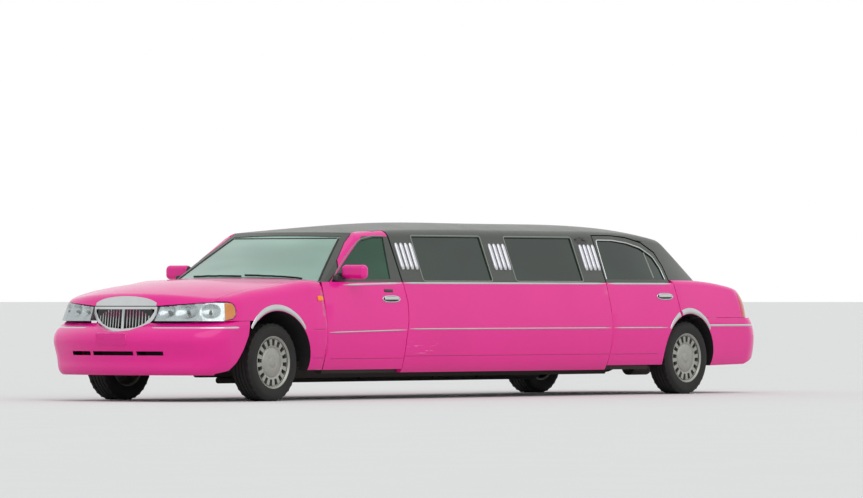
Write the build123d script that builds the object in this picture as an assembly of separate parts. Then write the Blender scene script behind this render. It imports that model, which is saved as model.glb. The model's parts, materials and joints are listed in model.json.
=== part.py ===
from build123d import *
import math
import os

# Stretch limousine, millimetres.
# X runs from the nose to the tail, the driver's side is at -Y, Z is up from the ground.

overall_length = 8517.0
wheelbase = 6038.0
front_overhang = 1080.0
body_half = 985.0
panel_gap = 7.0
fixed_gap = 3.0
seat_gap = 0.3

front_axle = -overall_length / 2 + front_overhang
rear_axle = front_axle + wheelbase
rear_overhang = overall_length - wheelbase - front_overhang

# Wheels
tyre_radius = 330.0
tyre_width = 225.0
bead_radius = 205.0
rim_width = 200.0
rim_windows = 16
front_track = 1610.0
rear_track = 1660.0
stub_radius = 28.0
running_fit = 0.4
kingpin_half = 700.0

# Body levels and side
belt_height = 1018.0
door_inner = 880.0
floor_half = 872.0
sill_bottom = 232.0
door_bottom = 262.0
bumper_top = 683.0
rear_bumper_top = 697.0
skin = 28.0
nose_radius = 1654.0
tail_radius = 2200.0
nose_corner = 360.0
tail_corner = 340.0
shoulder_radius = 110.0
deck_radius = 60.0
front_arch = 440.0
rear_arch = 405.0

# Distances behind the front axle
door_front = 655.0
door_rear = 1804.0
rear_door_front = 4820.0
rear_door_rear = 5835.0
hinge_inset = 45.0
hinge_half = 945.0
hinge_heights = [500.0, 700.0]
strap_half_height = 14.0
strap_half_width = 12.0
hinge_clearance = 5.0
pin_radius = 7.0
pin_length = 60.0
post_set = 27.0
hood_rear = 500.0
lid_front = 6712.0
lid_half = 700.0
lid_face_half = 490.0
front_door_gap = 12.0
edge_radius = 4000.0
screen_wall = 70.0
bars_per_side = 9
lamp_inner = 350.0
grille_half = 345.0

# Cabin
roof_wall = 42.0
glass_gap = 8.0
glass_thickness = 6.0
upper_gap = 18.0

# Chassis
rail_inner = 400.0
rail_width = 80.0
rail_height = 100.0
rail_low = 175.0
floor_low = 288.0
floor_thickness = 20.0
firewall = 560.0

# height, narrowing, nose setback, tail setback
body_levels = [
    (225, 77, 80, 57),
    (300, 37, 60, 17),
    (430, 10, 60, 7),
    (607, 0, 80, 107),
    (760, 11, 150, 147),
    (900, 35, 200, 207),
    (1080, 80, 280, 297),
]
# height, narrowing, nose setback, tail setback of the bumper covers
bumper_levels = [
    (225, 77, 70, 57),
    (300, 37, 35, 17),
    (430, 10, 20, 0),
    (527, 3, 0, 0),
    (607, 0, 50, 22),
    (760, 11, 210, 137),
]
# distance behind the front axle, height at the centre, height at crown_half
crown_half = 800.0
front_crown = [
    (-1200, 780, 700),
    (-905, 893, 815),
    (-720, 945, 850),
    (-500, 985, 905),
    (-209, 1020, 958),
    (200, 1045, 1003),
    (650, 1060, 1030),
    (900, 1065, 1035),
]
rear_crown = [
    (5500, 1075, 1052),
    (6299, 1060, 1039),
    (6645, 1042, 1010),
    (6933, 1005, 964),
    (7200, 955, 905),
    (7600, 870, 800),
]
# distance behind the front axle, belt half width, rail half width, rail height, crown height
cabin_sections = [
    (450, 770, 560, 1370, 1395),
    (1000, 872, 640, 1405, 1425),
    (1700, 913, 733, 1462, 1492),
    (2600, 915, 738, 1475, 1548),
    (3500, 915, 738, 1475, 1552),
    (4400, 915, 738, 1475, 1551),
    (5200, 913, 734, 1467, 1545),
    (5700, 903, 710, 1432, 1515),
    (6150, 844, 640, 1368, 1430),
    (6900, 590, 420, 1290, 1325),
]


def at(distance):
    """X of a distance behind the front axle."""
    return front_axle + distance


def side_prism(points, y_low, y_high):
    """Prism of a side outline of (distance behind the front axle, height)."""
    outline = Polyline([(at(v), y_high, z) for v, z in points], close=True)
    return extrude(make_face(outline), amount=y_high - y_low, dir=(0, -1, 0))


def plan_prism(points, z_low, z_high):
    """Prism of a plan outline of (distance behind the front axle, y)."""
    outline = Polyline([(at(v), y, z_low) for v, y in points], close=True)
    return extrude(make_face(outline), amount=z_high - z_low, dir=(0, 0, 1))


def front_prism(points, v_low, v_high):
    """Prism along X of an outline of (y, height)."""
    outline = Polyline([(at(v_low), y, z) for y, z in points], close=True)
    return extrude(make_face(outline), amount=v_high - v_low, dir=(1, 0, 0))


def block(v_low, v_high, y_low, y_high, z_low, z_high):
    """Box between limits, with X as distances behind the front axle."""
    size = Box(v_high - v_low, y_high - y_low, z_high - z_low)
    return Pos(at((v_low + v_high) / 2), (y_low + y_high) / 2, (z_low + z_high) / 2) * size


def both_sides(solid):
    """The solid and its mirror image."""
    return [solid, mirror(solid, about=Plane.XZ)]


def circle_crossing(radius, centre_x, start, end):
    """First crossing of the ray from start to end with a circle centred on the X axis."""
    dx = end[0] - start[0]
    dy = end[1] - start[1]
    a = dx * dx + dy * dy
    b = 2 * ((start[0] - centre_x) * dx + start[1] * dy)
    c = (start[0] - centre_x) ** 2 + start[1] ** 2 - radius * radius
    root = math.sqrt(b * b - 4 * a * c)
    along = min(t for t in ((-b - root) / (2 * a), (-b + root) / (2 * a)) if t > 0)
    return (start[0] + along * dx, start[1] + along * dy)


def body_outline(height, half, nose, tail):
    """Plan outline: arcs at nose and tail, rounded corners and straight flanks that taper."""
    start = (at(500), half)
    end = (at(wheelbase - 100), half)
    nose_end = circle_crossing(nose_radius, nose + nose_radius, start, (at(-1100), half - 64))
    tail_end = circle_crossing(tail_radius, tail - tail_radius, end, (at(wheelbase + 1500), half - 64))
    edges = [
        ThreePointArc((nose_end[0], -nose_end[1]), (nose, 0), nose_end),
        Line(nose_end, start),
        Line(start, end),
        Line(end, tail_end),
        ThreePointArc(tail_end, (tail, 0), (tail_end[0], -tail_end[1])),
        Line((tail_end[0], -tail_end[1]), (end[0], -end[1])),
        Line((end[0], -end[1]), (start[0], -start[1])),
        Line((start[0], -start[1]), (nose_end[0], -nose_end[1])),
    ]
    face = make_face(Curve() + edges)
    nose_points = [p for p in face.vertices() if abs(p.X - nose_end[0]) < 1]
    face = fillet(nose_points, nose_corner)
    tail_points = [p for p in face.vertices() if abs(p.X - tail_end[0]) < 1]
    face = fillet(tail_points, tail_corner)
    return Pos(0, 0, height) * face


def body_form(levels):
    """Smooth body through the outlines of a table of levels."""
    nose = at(-front_overhang)
    tail = at(wheelbase + rear_overhang)
    outlines = [
        body_outline(height, body_half - narrowing, nose + front_set, tail - rear_set)
        for height, narrowing, front_set, rear_set in levels
    ]
    return loft(outlines)


def crown_section(distance, centre, edge, low):
    """Section under a crowned top, wider than the body."""
    wide = body_half + 215
    side = centre - (centre - edge) * (wide / crown_half) ** 2
    x = at(distance)
    edges = [
        ThreePointArc((x, -wide, side), (x, 0, centre), (x, wide, side)),
        Line((x, wide, side), (x, wide, low)),
        Line((x, wide, low), (x, -wide, low)),
        Line((x, -wide, low), (x, -wide, side)),
    ]
    return make_face(Curve() + edges)


def crown_form(table, lowered):
    """Everything under a crowned top, which can be lowered for an inner face."""
    return loft([crown_section(v, centre - lowered, edge - lowered, -100) for v, centre, edge in table])


def cabin_form(inset):
    """Greenhouse from belt to roof, made smaller by the inset for inner faces and glass."""
    base = belt_height - 60
    faces = []
    for distance, belt, rail, rail_height_here, crown in cabin_sections:
        x = at(distance)
        slope = (belt - rail) / (rail_height_here - belt_height)
        low = belt + slope * (belt_height - base) - inset
        top = rail - inset
        z_rail = rail_height_here - inset
        z_crown = crown - inset
        edges = [
            Line((x, -low, base), (x, -top, z_rail)),
            ThreePointArc((x, -top, z_rail), (x, 0, z_crown), (x, top, z_rail)),
            Line((x, top, z_rail), (x, low, base)),
            Line((x, low, base), (x, -low, base)),
        ]
        face = make_face(Curve() + edges)
        corners = [p for p in face.vertices() if p.Z > base + 1]
        faces.append(fillet(corners, 105 - inset * 0.9))
    return loft(faces)


def screen_space(centre, centre_height, slope, radius, growth, shift, direction, far):
    """Space ahead of or behind a raked curved screen."""
    faces = []
    for z in (900.0, 1650.0):
        v = centre + slope * (z - centre_height) + shift
        r = radius + growth * (z - centre_height)
        half = 1000.0
        edge = v + direction * (r - math.sqrt(r * r - half * half))
        points = [(at(edge), -half, z), (at(v), 0, z), (at(edge), half, z)]
        edges = [
            ThreePointArc(*points),
            Line((at(edge), half, z), (at(far), half, z)),
            Line((at(far), half, z), (at(far), -half, z)),
            Line((at(far), -half, z), (at(edge), -half, z)),
        ]
        faces.append(make_face(Curve() + edges))
    return loft(faces, ruled=True)


def windscreen_space(shift):
    return screen_space(600, 1050, 1.74, 1690, 0.733, shift, 1, -1500)


def backlight_space(shift):
    return screen_space(6625, 1045, -1.548, 1400, 1.4, -shift, -1, 8500)


def bowed_edge(top, middle, bottom):
    """Points of a door edge that is an arc in side view, from top to bottom."""
    arc = ThreePointArc((top[0], 0, top[1]), (middle[0], 0, middle[1]), (bottom[0], 0, bottom[1]))
    return [((arc @ t).X, (arc @ t).Z) for t in (0, 0.25, 0.5, 0.75, 1)]


def turned_edge(hinge_x, points, grow):
    """Solid of revolution about an upright hinge line, from (distance to the edge, height)."""
    reach = [(math.hypot(hinge_x - v, body_half - hinge_half) + grow, z) for v, z in points]
    profile = Polyline([(0, 0, reach[0][1])] + [(r, 0, z) for r, z in reach] + [(0, 0, reach[-1][1])], close=True)
    turned = revolve(make_face(profile), Axis.Z, 360)
    return Pos(at(hinge_x), -hinge_half, 0) * turned


def top_edges(solid, end_x):
    """Edges of the highest face, apart from those on an end plane."""
    top = solid.faces().sort_by(Axis.Z)[-1]
    return [e for e in top.edges() if abs(e.center().X - end_x) > 1]


# Body forms shared by the panels
shell = body_form(body_levels)
bumper_form = body_form(bumper_levels)
front_top = crown_form(front_crown, 0)
front_inner_top = crown_form(front_crown, skin)
rear_top = crown_form(rear_crown, 0)
rear_inner_top = crown_form(rear_crown, skin)

front_void_half = 840.0
front_void = extrude(
    body_outline(150, front_void_half, at(-860), at(wheelbase + 1100)), amount=1100, dir=(0, 0, 1)
)
front_body = shell & block(-1300, 900, -1200, 1200, 100, 1200) & front_top
front_body = fillet(top_edges(front_body, at(900)), shoulder_radius)
front_shell = front_body - (front_void & front_inner_top)

rear_void = extrude(
    body_outline(150, 850, at(-1000), at(wheelbase + rear_overhang - 262)), amount=1100, dir=(0, 0, 1)
)
rear_body = shell & block(5500, 7600, -1200, 1200, 100, 1200) & rear_top
rear_body = fillet(top_edges(rear_body, at(5500)), deck_radius)
rear_shell = rear_body - (rear_void & rear_inner_top)

cabin = cabin_form(0) - windscreen_space(0) - backlight_space(0)
cabin_inner = cabin_form(roof_wall) - windscreen_space(screen_wall) - backlight_space(screen_wall)
cabin_shell = cabin - cabin_inner
glass_skin = cabin_form(glass_gap) - cabin_form(glass_gap + glass_thickness)

# Zones that divide the panels on the driver's side
wheel_front = Pos(front_axle, 0, tyre_radius) * Rot(90, 0, 0) * Cylinder(front_arch, 2400)
wheel_rear = Pos(rear_axle, 0, tyre_radius) * Rot(90, 0, 0) * Cylinder(rear_arch, 2400)
front_hinge = door_front + hinge_inset
rear_hinge = rear_door_front + hinge_inset
edge_heights = [200, 360, 520, 680, 840, belt_height]
trailing_setbacks = [56, 60, 46, 14, 0, 24]
rear_edge_crest = 720.0
front_trailing = [(door_rear - back, z) for z, back in zip(edge_heights, trailing_setbacks)]
panel_leading = [(v + panel_gap + 2, z) for v, z in front_trailing]
rear_leading = [(rear_door_front - (z - rear_edge_crest) ** 2 / (2 * edge_radius), z) for z in edge_heights]
front_nose = turned_edge(front_hinge, [(door_front, z) for z in (door_bottom, belt_height)], 0)
front_relief = turned_edge(front_hinge, [(door_front, z) for z in (150, 1300)], front_door_gap)
rear_nose = turned_edge(rear_hinge, rear_leading, 0)
rear_relief = turned_edge(rear_hinge, rear_leading, panel_gap)

# Hood, its chrome header, cowl and fenders
hood_edge_radius = 2371.0
hood_edge_centre = at(hood_rear) + hood_edge_radius
hood_side = [(-1300, -798), (-767, -800), (650, -830), (900, -836)]
hood_plan = hood_side + [(v, -y) for v, y in reversed(hood_side)]
hood_plan_wide = [(v, y - fixed_gap if y < 0 else y + fixed_gap) for v, y in hood_plan]
hood_lip = [(-860, 849), (-grille_half, 813), (grille_half, 813), (860, 849), (860, 1300), (-860, 1300)]
lamp_zone_low = [(y, z - panel_gap) for y, z in hood_lip[:4]] + hood_lip[4:]
front_lip = front_prism(hood_lip, -1300, 900)
hood_column = plan_prism(hood_plan, 700, 1200) & front_lip
behind_hood = Pos(hood_edge_centre, 0, 0) * Cylinder(hood_edge_radius, 3000)
hood_full = (front_shell & hood_column) - behind_hood
header_half = [(333, 700), (333, 838), (310, 862), (252, 888), (120, 898)]
header_outline = [(-y, z) for y, z in header_half] + [(0, 903)] + list(reversed(header_half))
header_prism = front_prism(header_outline, -1000, -862)
hood_header = hood_full & header_prism
hood = hood_full - header_prism
fender_hole = plan_prism(hood_plan_wide, 700, 1200) & front_prism(lamp_zone_low, -1300, 900)

cowl_front = Pos(hood_edge_centre, 0, 0) * Cylinder(hood_edge_radius - panel_gap, 3000)
cowl_side = [(400, -822), (655, -832.8), (662, -floor_half), (826, -floor_half), (826, -794), (868, -794)]
cowl_plan = cowl_side + [(v, -y) for v, y in reversed(cowl_side)]
cowl_under = Pos(0, 0, -20) * front_inner_top
cowl = (front_body & cowl_front & plan_prism(cowl_plan, 900, 1200)) - cowl_under

lamp_low = bumper_top + seat_gap
lamp_side = [(-1200, lamp_low), (-640, lamp_low), (-560, 705), (-534, 729), (-520, 763), (-524, 808), (-545, 835)]
lamp_side += [(-580, 845), (-1200, 846)]
lamp_front = [(-1000, lamp_low), (-lamp_inner, lamp_low), (-lamp_inner, 803), (-800, 843), (-1000, 843)]
lamp_zone = side_prism(lamp_side, -1100, -100) & front_prism(lamp_front, -1200, -400)
lamp_hole_side = [(-1300, bumper_top), (-638, bumper_top), (-557, 701), (-530, 727), (-516, 763), (-520, 810), (-542, 839)]
lamp_hole_side += [(-579, 850), (-1300, 850)]
lamp_hole = side_prism(lamp_hole_side, -1100, 0)
front_lamp_shell = front_body - extrude(
    body_outline(150, front_void_half, at(-880), at(wheelbase + 1100)), amount=1100, dir=(0, 0, 1)
)
headlamp = front_lamp_shell & lamp_zone

fender_side = [(-870, 686), (0, 686), (0, door_bottom), (door_front, door_bottom), (door_front, 1100), (-870, 1100)]
fender = (front_shell & side_prism(fender_side, -1100, -300)) - wheel_front - fender_hole - lamp_hole - front_relief
fender = fender.solids().sort_by(SortBy.VOLUME)[-1]

# Bumper covers
bumper_side = [(-1200, 150), (-700, 150), (-708, 239), (-582, 265), (-510, 333), (-440, 445), (-384, 559), (-370, 645)]
bumper_side += [(-370, bumper_top)]
bumper_side += [(-1200, bumper_top)]
bumper_void = extrude(
    body_outline(100, front_void_half, at(-930), at(wheelbase + rear_overhang - 150)), amount=1100, dir=(0, 0, 1)
)
bumper_shell = bumper_form - bumper_void
grille_u = [(-grille_half, 830), (-grille_half, 740), (-310, 690), (-250, 640), (-160, 606), (0, 593)]
grille_u += [(-y, z) for y, z in reversed(grille_u[:-1])]
grille_hole = front_prism([(y * 1.001, z - seat_gap) for y, z in grille_u], -1200, -700)
front_bumper = (bumper_shell & side_prism(bumper_side, -1100, 1100)) - grille_hole
slot = block(-1300, -800, -498, -254, 393, 428)
front_bumper = front_bumper - slot - mirror(slot, about=Plane.XZ) - block(-1300, -800, -220, 220, 393, 428)
rear_side = [(6430, 258), (7000, 268), (7190, 330), (7450, 372), (7700, 380), (7700, rear_bumper_top), (6150, rear_bumper_top)]
rear_bumper = (bumper_shell & side_prism(rear_side, -1100, 1100)) - wheel_rear

# Flat pads for number plates, each with two screw holes
plate_half = 160.0
plate_screw_half = 89.0
screw_radius = 3.5
screw_depth = 15.0
pad_proud = 0.5


def plate_screws(v, z, direction):
    """Screw holes of a plate pad whose face is at v; direction is the way into the body."""
    holes = []
    for y in (-plate_screw_half, plate_screw_half):
        middle = at(v + direction * screw_depth / 2)
        holes.append(Pos(middle, y, z) * Rot(0, 90, 0) * Cylinder(screw_radius, screw_depth))
    return holes


front_plate_face = -front_overhang + pad_proud
rear_plate_face = wheelbase + rear_overhang - pad_proud
front_pad = block(front_plate_face, front_plate_face + 30, -plate_half, plate_half, 478, 578)
rear_pad = block(rear_plate_face - 40, rear_plate_face, -plate_half, plate_half, 478, 598)
front_bumper = front_bumper + front_pad - plate_screws(front_plate_face, 528, 1)
rear_bumper = rear_bumper + rear_pad - plate_screws(rear_plate_face, 538, -1)

# Grille: chrome frame, centre bar and upright bars
def grille_slab(front_set, depth):
    """Raked plan-arc slab behind the grille's front face."""
    faces = []
    for z, nose in ((560.0, -934.0), (840.0, -902.0)):
        v = nose + front_set
        sag = nose_radius - math.sqrt(nose_radius ** 2 - 400.0 ** 2)
        edges = [
            ThreePointArc((at(v + sag), -400, z), (at(v), 0, z), (at(v + sag), 400, z)),
            Line((at(v + sag), 400, z), (at(v + sag + depth), 400, z)),
            ThreePointArc((at(v + sag + depth), 400, z), (at(v + depth), 0, z), (at(v + sag + depth), -400, z)),
            Line((at(v + sag + depth), -400, z), (at(v + sag), -400, z)),
        ]
        faces.append(make_face(Curve() + edges))
    return loft(faces, ruled=True)


grille_top = 806.0
frame_outline = [(y, min(z, grille_top)) for y, z in grille_u]
inner_outline = [(y * 0.93, min(z, grille_top - 22) if z > 800 else z + 24) for y, z in grille_u]
frame_ring = front_prism(frame_outline, -1000, -700) - front_prism(inner_outline, -1000, -700)
grille_frame = grille_slab(0, 46) & frame_ring
inner_area = front_prism([(y * 1.01, z) for y, z in inner_outline], -1000, -700)
bar_pitch = 300.0 / (bars_per_side + 0.5)
bar_half = 4.0
centre_bar_half = 14.0
gaps = []
for count in range(bars_per_side + 1):
    y_low = centre_bar_half if count == 0 else centre_bar_half + count * bar_pitch + bar_half
    y_high = centre_bar_half + (count + 1) * bar_pitch - bar_half
    gaps += both_sides(block(-1000, -700, -y_high, -y_low, 500, 900))
grille = ((grille_slab(8, 30) & inner_area) - gaps) + grille_frame

# Doors, side panels and quarters on the driver's side
side_flank = -1100
pillar_line = [(-870, 960), (-812, 1109), (-745, 1241), (-672, 1364), (-655, 1425), (-600, 1500), (0, 1600), (0, 960)]
flange_gap = 10.0
front_flange = [(700, -560), (1480, -600), (1640, -688), (1900, -688)]
rear_flange = [(4700, -688), (5900, -688)]


def pillar_wedge(grow):
    """Windscreen pillar inboard of the door frame, on the driver's side."""
    return front_prism([(y - grow, z) for y, z in pillar_line], 300, 1800) & windscreen_space(screen_wall + grow)


def outboard(line, shift):
    """Everything outboard of a plan line, on the driver's side."""
    points = [(v, y + shift) for v, y in line]
    return plan_prism([(points[0][0], -1100)] + points + [(points[-1][0], -1100)], 900, 1700)


def hinge_pocket(hinge_at):
    """Pockets for the hinge straps in a door's leading edge, with the bores of the pins."""
    pockets = []
    for z in hinge_heights:
        half = strap_half_height + hinge_clearance
        side = strap_half_width + hinge_clearance
        pockets.append(block(hinge_at - 200, hinge_at + side, -hinge_half - side, -700, z - half, z + half))
        bore = Cylinder(pin_radius + running_fit, pin_length + 2 * hinge_clearance)
        pockets.append(Pos(at(hinge_at), -hinge_half, z) * bore)
    return pockets


def hinge_post(hinge_at):
    """Door post inside the body, with the hinge straps, their barrels and pins."""
    post_face = -floor_half + post_set
    post = block(hinge_at - strap_half_width, hinge_at + 50, post_face, post_face + 50, floor_low, 900)
    for z in hinge_heights:
        low = z - strap_half_height
        high = z + strap_half_height
        strap = block(hinge_at - strap_half_width, hinge_at + strap_half_width, -hinge_half, post_face + 1, low, high)
        barrel = Cylinder(strap_half_width, high - low) + Cylinder(pin_radius, pin_length)
        post = post + strap + Pos(at(hinge_at), -hinge_half, z) * barrel
    return post


front_zone = [(front_hinge, door_bottom), (front_hinge, belt_height)]
front_zone += [p for p in reversed(front_trailing) if p[1] > door_bottom] + [(front_trailing[0][0], door_bottom)]
door_lower = shell & side_prism(front_zone, side_flank, -door_inner)
door_nose = shell & front_nose & block(500, front_hinge, side_flank, -door_inner, door_bottom, belt_height)
frame_line = [(835, belt_height), (1000, 1170), (1090, 1244), (1244, 1362), (1320, 1418), (1400, 1450), (1500, 1468)]
frame_line += [(1773, 1474), (front_trailing[-1][0], belt_height)]
opening_line = [(1052, 1045), (1064, 1150), (1102, 1178), (1285, 1303), (1425, 1380), (1587, 1408), (1715, 1408), (1636, 1045)]
frame_wall = cabin_shell - pillar_wedge(panel_gap)
frame_front = frame_wall & side_prism(frame_line, -1000, -500) & outboard(front_flange, 0)
frame_front = frame_front - side_prism(opening_line, -1000, -500)
frame_front = frame_front.solids().sort_by(SortBy.VOLUME)[-1]
door_front_left = door_lower + door_nose + frame_front - hinge_pocket(front_hinge)

panel_zone = list(panel_leading) + [(rear_hinge, belt_height), (rear_hinge, 200)]
side_panel = shell & side_prism(panel_zone, side_flank, -floor_half)
side_panel = side_panel & block(1000, 5500, -1100, 0, sill_bottom, belt_height)
side_panel = side_panel - rear_relief - block(rear_hinge - 75, rear_hinge + 10, -890, -800, 100, 1100)

rear_bottom = 272.0
rear_zone = [(rear_hinge, rear_bottom), (rear_hinge, belt_height), (rear_door_rear, belt_height), (5880, 755)]
rear_zone += [(5900, 700), (5900, rear_bottom)]
rear_lower = (shell & side_prism(rear_zone, side_flank, -door_inner)) - wheel_rear
rear_lower = rear_lower.solids().sort_by(Axis.X)[0]
rear_nose_piece = shell & rear_nose & block(4500, rear_hinge, side_flank, -door_inner, rear_bottom, belt_height)
rear_frame_line = [(4812, belt_height), (4806, 1250), (4806, 1442), (5100, 1442), (5330, 1424), (5560, 1380), (5735, 1290)]
rear_frame_line += [(5795, 1170), (5808, belt_height)]
rear_opening_line = [(4840, 1048), (4846, 1250), (4854, 1398), (5100, 1396), (5320, 1374), (5520, 1330), (5680, 1250)]
rear_opening_line += [(5738, 1150), (5752, 1048)]
rear_frame = cabin_shell & side_prism(rear_frame_line, -1000, -500) & outboard(rear_flange, 0)
rear_frame = rear_frame - side_prism(rear_opening_line, -1000, -500)
door_rear_left = rear_lower + rear_nose_piece + rear_frame - hinge_pocket(rear_hinge)

# Tail: trunk lid, lamps, deck and quarters
lid_outline = [(-lid_face_half, 706), (-lid_face_half, 912), (-lid_half, 940), (-lid_half, 1200)]
lid_outline += [(-y, z) for y, z in reversed(lid_outline)]
trunk_lid = rear_shell & front_prism(lid_outline, lid_front, 7700)
tail_low = rear_bumper_top + seat_gap
tail_front_view = [(-lid_face_half - 6, tail_low), (-lid_face_half - 6, 905), (-lid_half - 3, 933), (-1000, 933), (-1000, tail_low)]
tail_hole_view = [(-lid_face_half, 600), (-lid_face_half, 912), (-lid_half, 936), (-1100, 936), (-1100, 600)]
tail_side_view = [(7095, tail_low), (7050, 860), (7075, 925), (7400, 925), (7700, 925), (7700, tail_low)]
tail_hole_side = [(7092, 600), (7092, 703), (7047, 860), (7072, 928), (7700, 928), (7700, 600)]
lamp_void = extrude(
    body_outline(150, 860, at(-1000), at(wheelbase + rear_overhang - 252)), amount=1100, dir=(0, 0, 1)
)
tail_lamp = ((rear_body - lamp_void) & front_prism(tail_front_view, 6900, 7700)) & side_prism(tail_side_view, -1100, -100)
door_rear_zone = [(5400, 100), (5909, 100), (5909, 700), (5889, 755), (5844, belt_height), (5844, 1300), (5400, 1300)]
quarter = (rear_shell & side_prism([(5700, 700), (7700, 700), (7700, 1200), (5700, 1200)], -1100, 0)) - wheel_rear
quarter = quarter - side_prism(door_rear_zone, -1200, 0)
quarter = quarter - (front_prism(tail_hole_view, 6900, 7700) & side_prism(tail_hole_side, -1200, 0))
quarter = quarter - block(lid_front - panel_gap, 7700, -lid_half - 3, 0, 937, 1200) - block(6900, 7700, -500, 0, 600, 1200)
quarter = quarter - block(5400, 7700, -702.7, 0, 600, 1200)
quarter = quarter.solids().sort_by(SortBy.VOLUME)[-1]
rear_deck = rear_shell & block(6330, lid_front - panel_gap, -702.4, 702.4, 900, 1200)

# Roof with its pillars, screens and panes
def screen_opening(half_low, half_high, z_low, z_high, crown, margin, v_low, v_high):
    """Screen outline seen along X, with a crowned top."""
    low = half_low - margin
    high = half_high - margin
    top = z_high - margin
    edges = [
        Line((at(v_low), -low, z_low), (at(v_low), -high, top)),
        ThreePointArc((at(v_low), -high, top), (at(v_low), 0, top + crown), (at(v_low), high, top)),
        Line((at(v_low), high, top), (at(v_low), low, z_low)),
        Line((at(v_low), low, z_low), (at(v_low), -low, z_low)),
    ]
    return extrude(make_face(Curve() + edges), amount=v_high - v_low, dir=(1, 0, 0))


def inset_outline(points, margin):
    """Outline moved in towards its middle by about the margin."""
    middle_v = sum(v for v, z in points) / len(points)
    middle_z = sum(z for v, z in points) / len(points)
    moved = []
    for v, z in points:
        reach = math.hypot(middle_v - v, middle_z - z)
        moved.append((v + (middle_v - v) * margin / reach, z + (middle_z - z) * margin / reach))
    return moved


side_windows_at = [(2105, 3098), (3465, 4458)]
window_low = 1037.0
window_high = 1417.0
screen_base = 960.0
screen_top = 1412.0
screen_crown = 12.0
windscreen_low_half = 843.0
windscreen_high_half = 594.0
backlight_low_half = 672.0
backlight_high_half = 545.0


def windscreen_opening(margin):
    """Outline of the windscreen, made smaller by the margin."""
    return screen_opening(windscreen_low_half, windscreen_high_half, screen_base, screen_top, screen_crown, margin, 300, 2000)


def backlight_opening(margin):
    """Outline of the rear window, made smaller by the margin."""
    return screen_opening(backlight_low_half, backlight_high_half, screen_base, screen_top, screen_crown, margin, 5600, 7200)


front_frame_hole = [(800, 990), (826, belt_height), (991, 1179), (1082, 1253), (1236, 1371), (1313, 1428), (1396, 1460)]
front_frame_hole += [(1498, 1477), (1792, 1483), (1795, 1250), (front_trailing[-1][0] + upper_gap, belt_height)]
front_frame_hole += [(front_trailing[-1][0] + upper_gap, 990)]
rear_frame_hole = [(4796, 990), (4796, belt_height), (4794, 1250), (4794, 1451), (5102, 1452), (5334, 1437), (5568, 1394)]
rear_frame_hole += [(5754, 1300), (5814, 1172), (5808 + upper_gap, belt_height), (5808 + upper_gap, 990)]
front_hole = (side_prism(front_frame_hole, -1100, -400) & outboard(front_flange, flange_gap)) - pillar_wedge(0)
rear_hole = side_prism(rear_frame_hole, -1100, -400) & outboard(rear_flange, flange_gap)
roof_cuts = [block(-500, 8000, -1200, 1200, 800, belt_height), front_body, rear_body]
roof_cuts += [windscreen_opening(0), backlight_opening(0)]
roof_cuts += [block(low, high, -1100, 1100, window_low, window_high) for low, high in side_windows_at]
roof_cuts += both_sides(front_hole) + both_sides(rear_hole)
roof = cabin_shell - roof_cuts
roof = roof.solids().sort_by(SortBy.VOLUME)[-1]

windscreen = (cabin_form(glass_gap) & windscreen_space(24)) - windscreen_space(12)
windscreen = (windscreen & windscreen_opening(seat_gap)) - front_body
rear_window = (cabin_form(glass_gap) & backlight_space(24)) - backlight_space(12)
rear_window = (rear_window & backlight_opening(seat_gap)) - rear_body
panes = []
for low, high in side_windows_at:
    pane = glass_skin & block(low + seat_gap, high - seat_gap, -1100, 0, window_low + seat_gap, window_high - seat_gap)
    panes += both_sides(pane)
glass_front_left = glass_skin & side_prism(inset_outline(opening_line, 0.5), -1000, -500)
glass_rear_left = glass_skin & side_prism(inset_outline(rear_opening_line, 0.5), -1000, -500)

# Frame, floor, liners and running gear
rail_low = floor_low - seat_gap - rail_height
rail_front_low = 330.0
rear_floor = 560.0
rail_rear_low = rear_floor - seat_gap - rail_height
rail_outer = rail_inner + rail_width
rail_tail_low = 372.0
rail_path = [(-980, rail_front_low), (420, rail_front_low), (640, rail_low), (5380, rail_low), (5640, rail_rear_low)]
rail_path += [(6560, rail_rear_low), (6640, rail_tail_low), (7300, rail_tail_low)]
rail_outline = rail_path + [(v, z + rail_height) for v, z in reversed(rail_path)]
frame = side_prism(rail_outline, -rail_outer, -rail_inner)
frame = frame + mirror(frame, about=Plane.XZ)
cross_depth = 62.0
cross_front = -860.0
cross_width = 60.0
cross_drop = 5.0
for v, low in ((cross_front, rail_front_low), (620, 175), (1500, rail_low), (2400, rail_low), (3300, rail_low),
               (4200, rail_low), (5100, rail_low), (7150, rail_tail_low)):
    frame = frame + block(v, v + cross_width, -rail_inner - 5, rail_inner + 5, low + 20, low + rail_height - cross_drop)
frame = frame + block(-20, 120, -rail_outer, rail_outer, rail_front_low - cross_depth, rail_front_low)
frame_space = extrude(
    body_outline(100, 839.5, at(-929.5), at(wheelbase + rear_overhang - 150.5)), amount=1100, dir=(0, 0, 1)
)
frame = frame & frame_space

radiator_low = rail_front_low + rail_height - cross_drop + seat_gap
radiator_front = cross_front + cross_width - 12
radiator = block(radiator_front, radiator_front + 44, -330, 330, radiator_low, 800)

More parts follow.
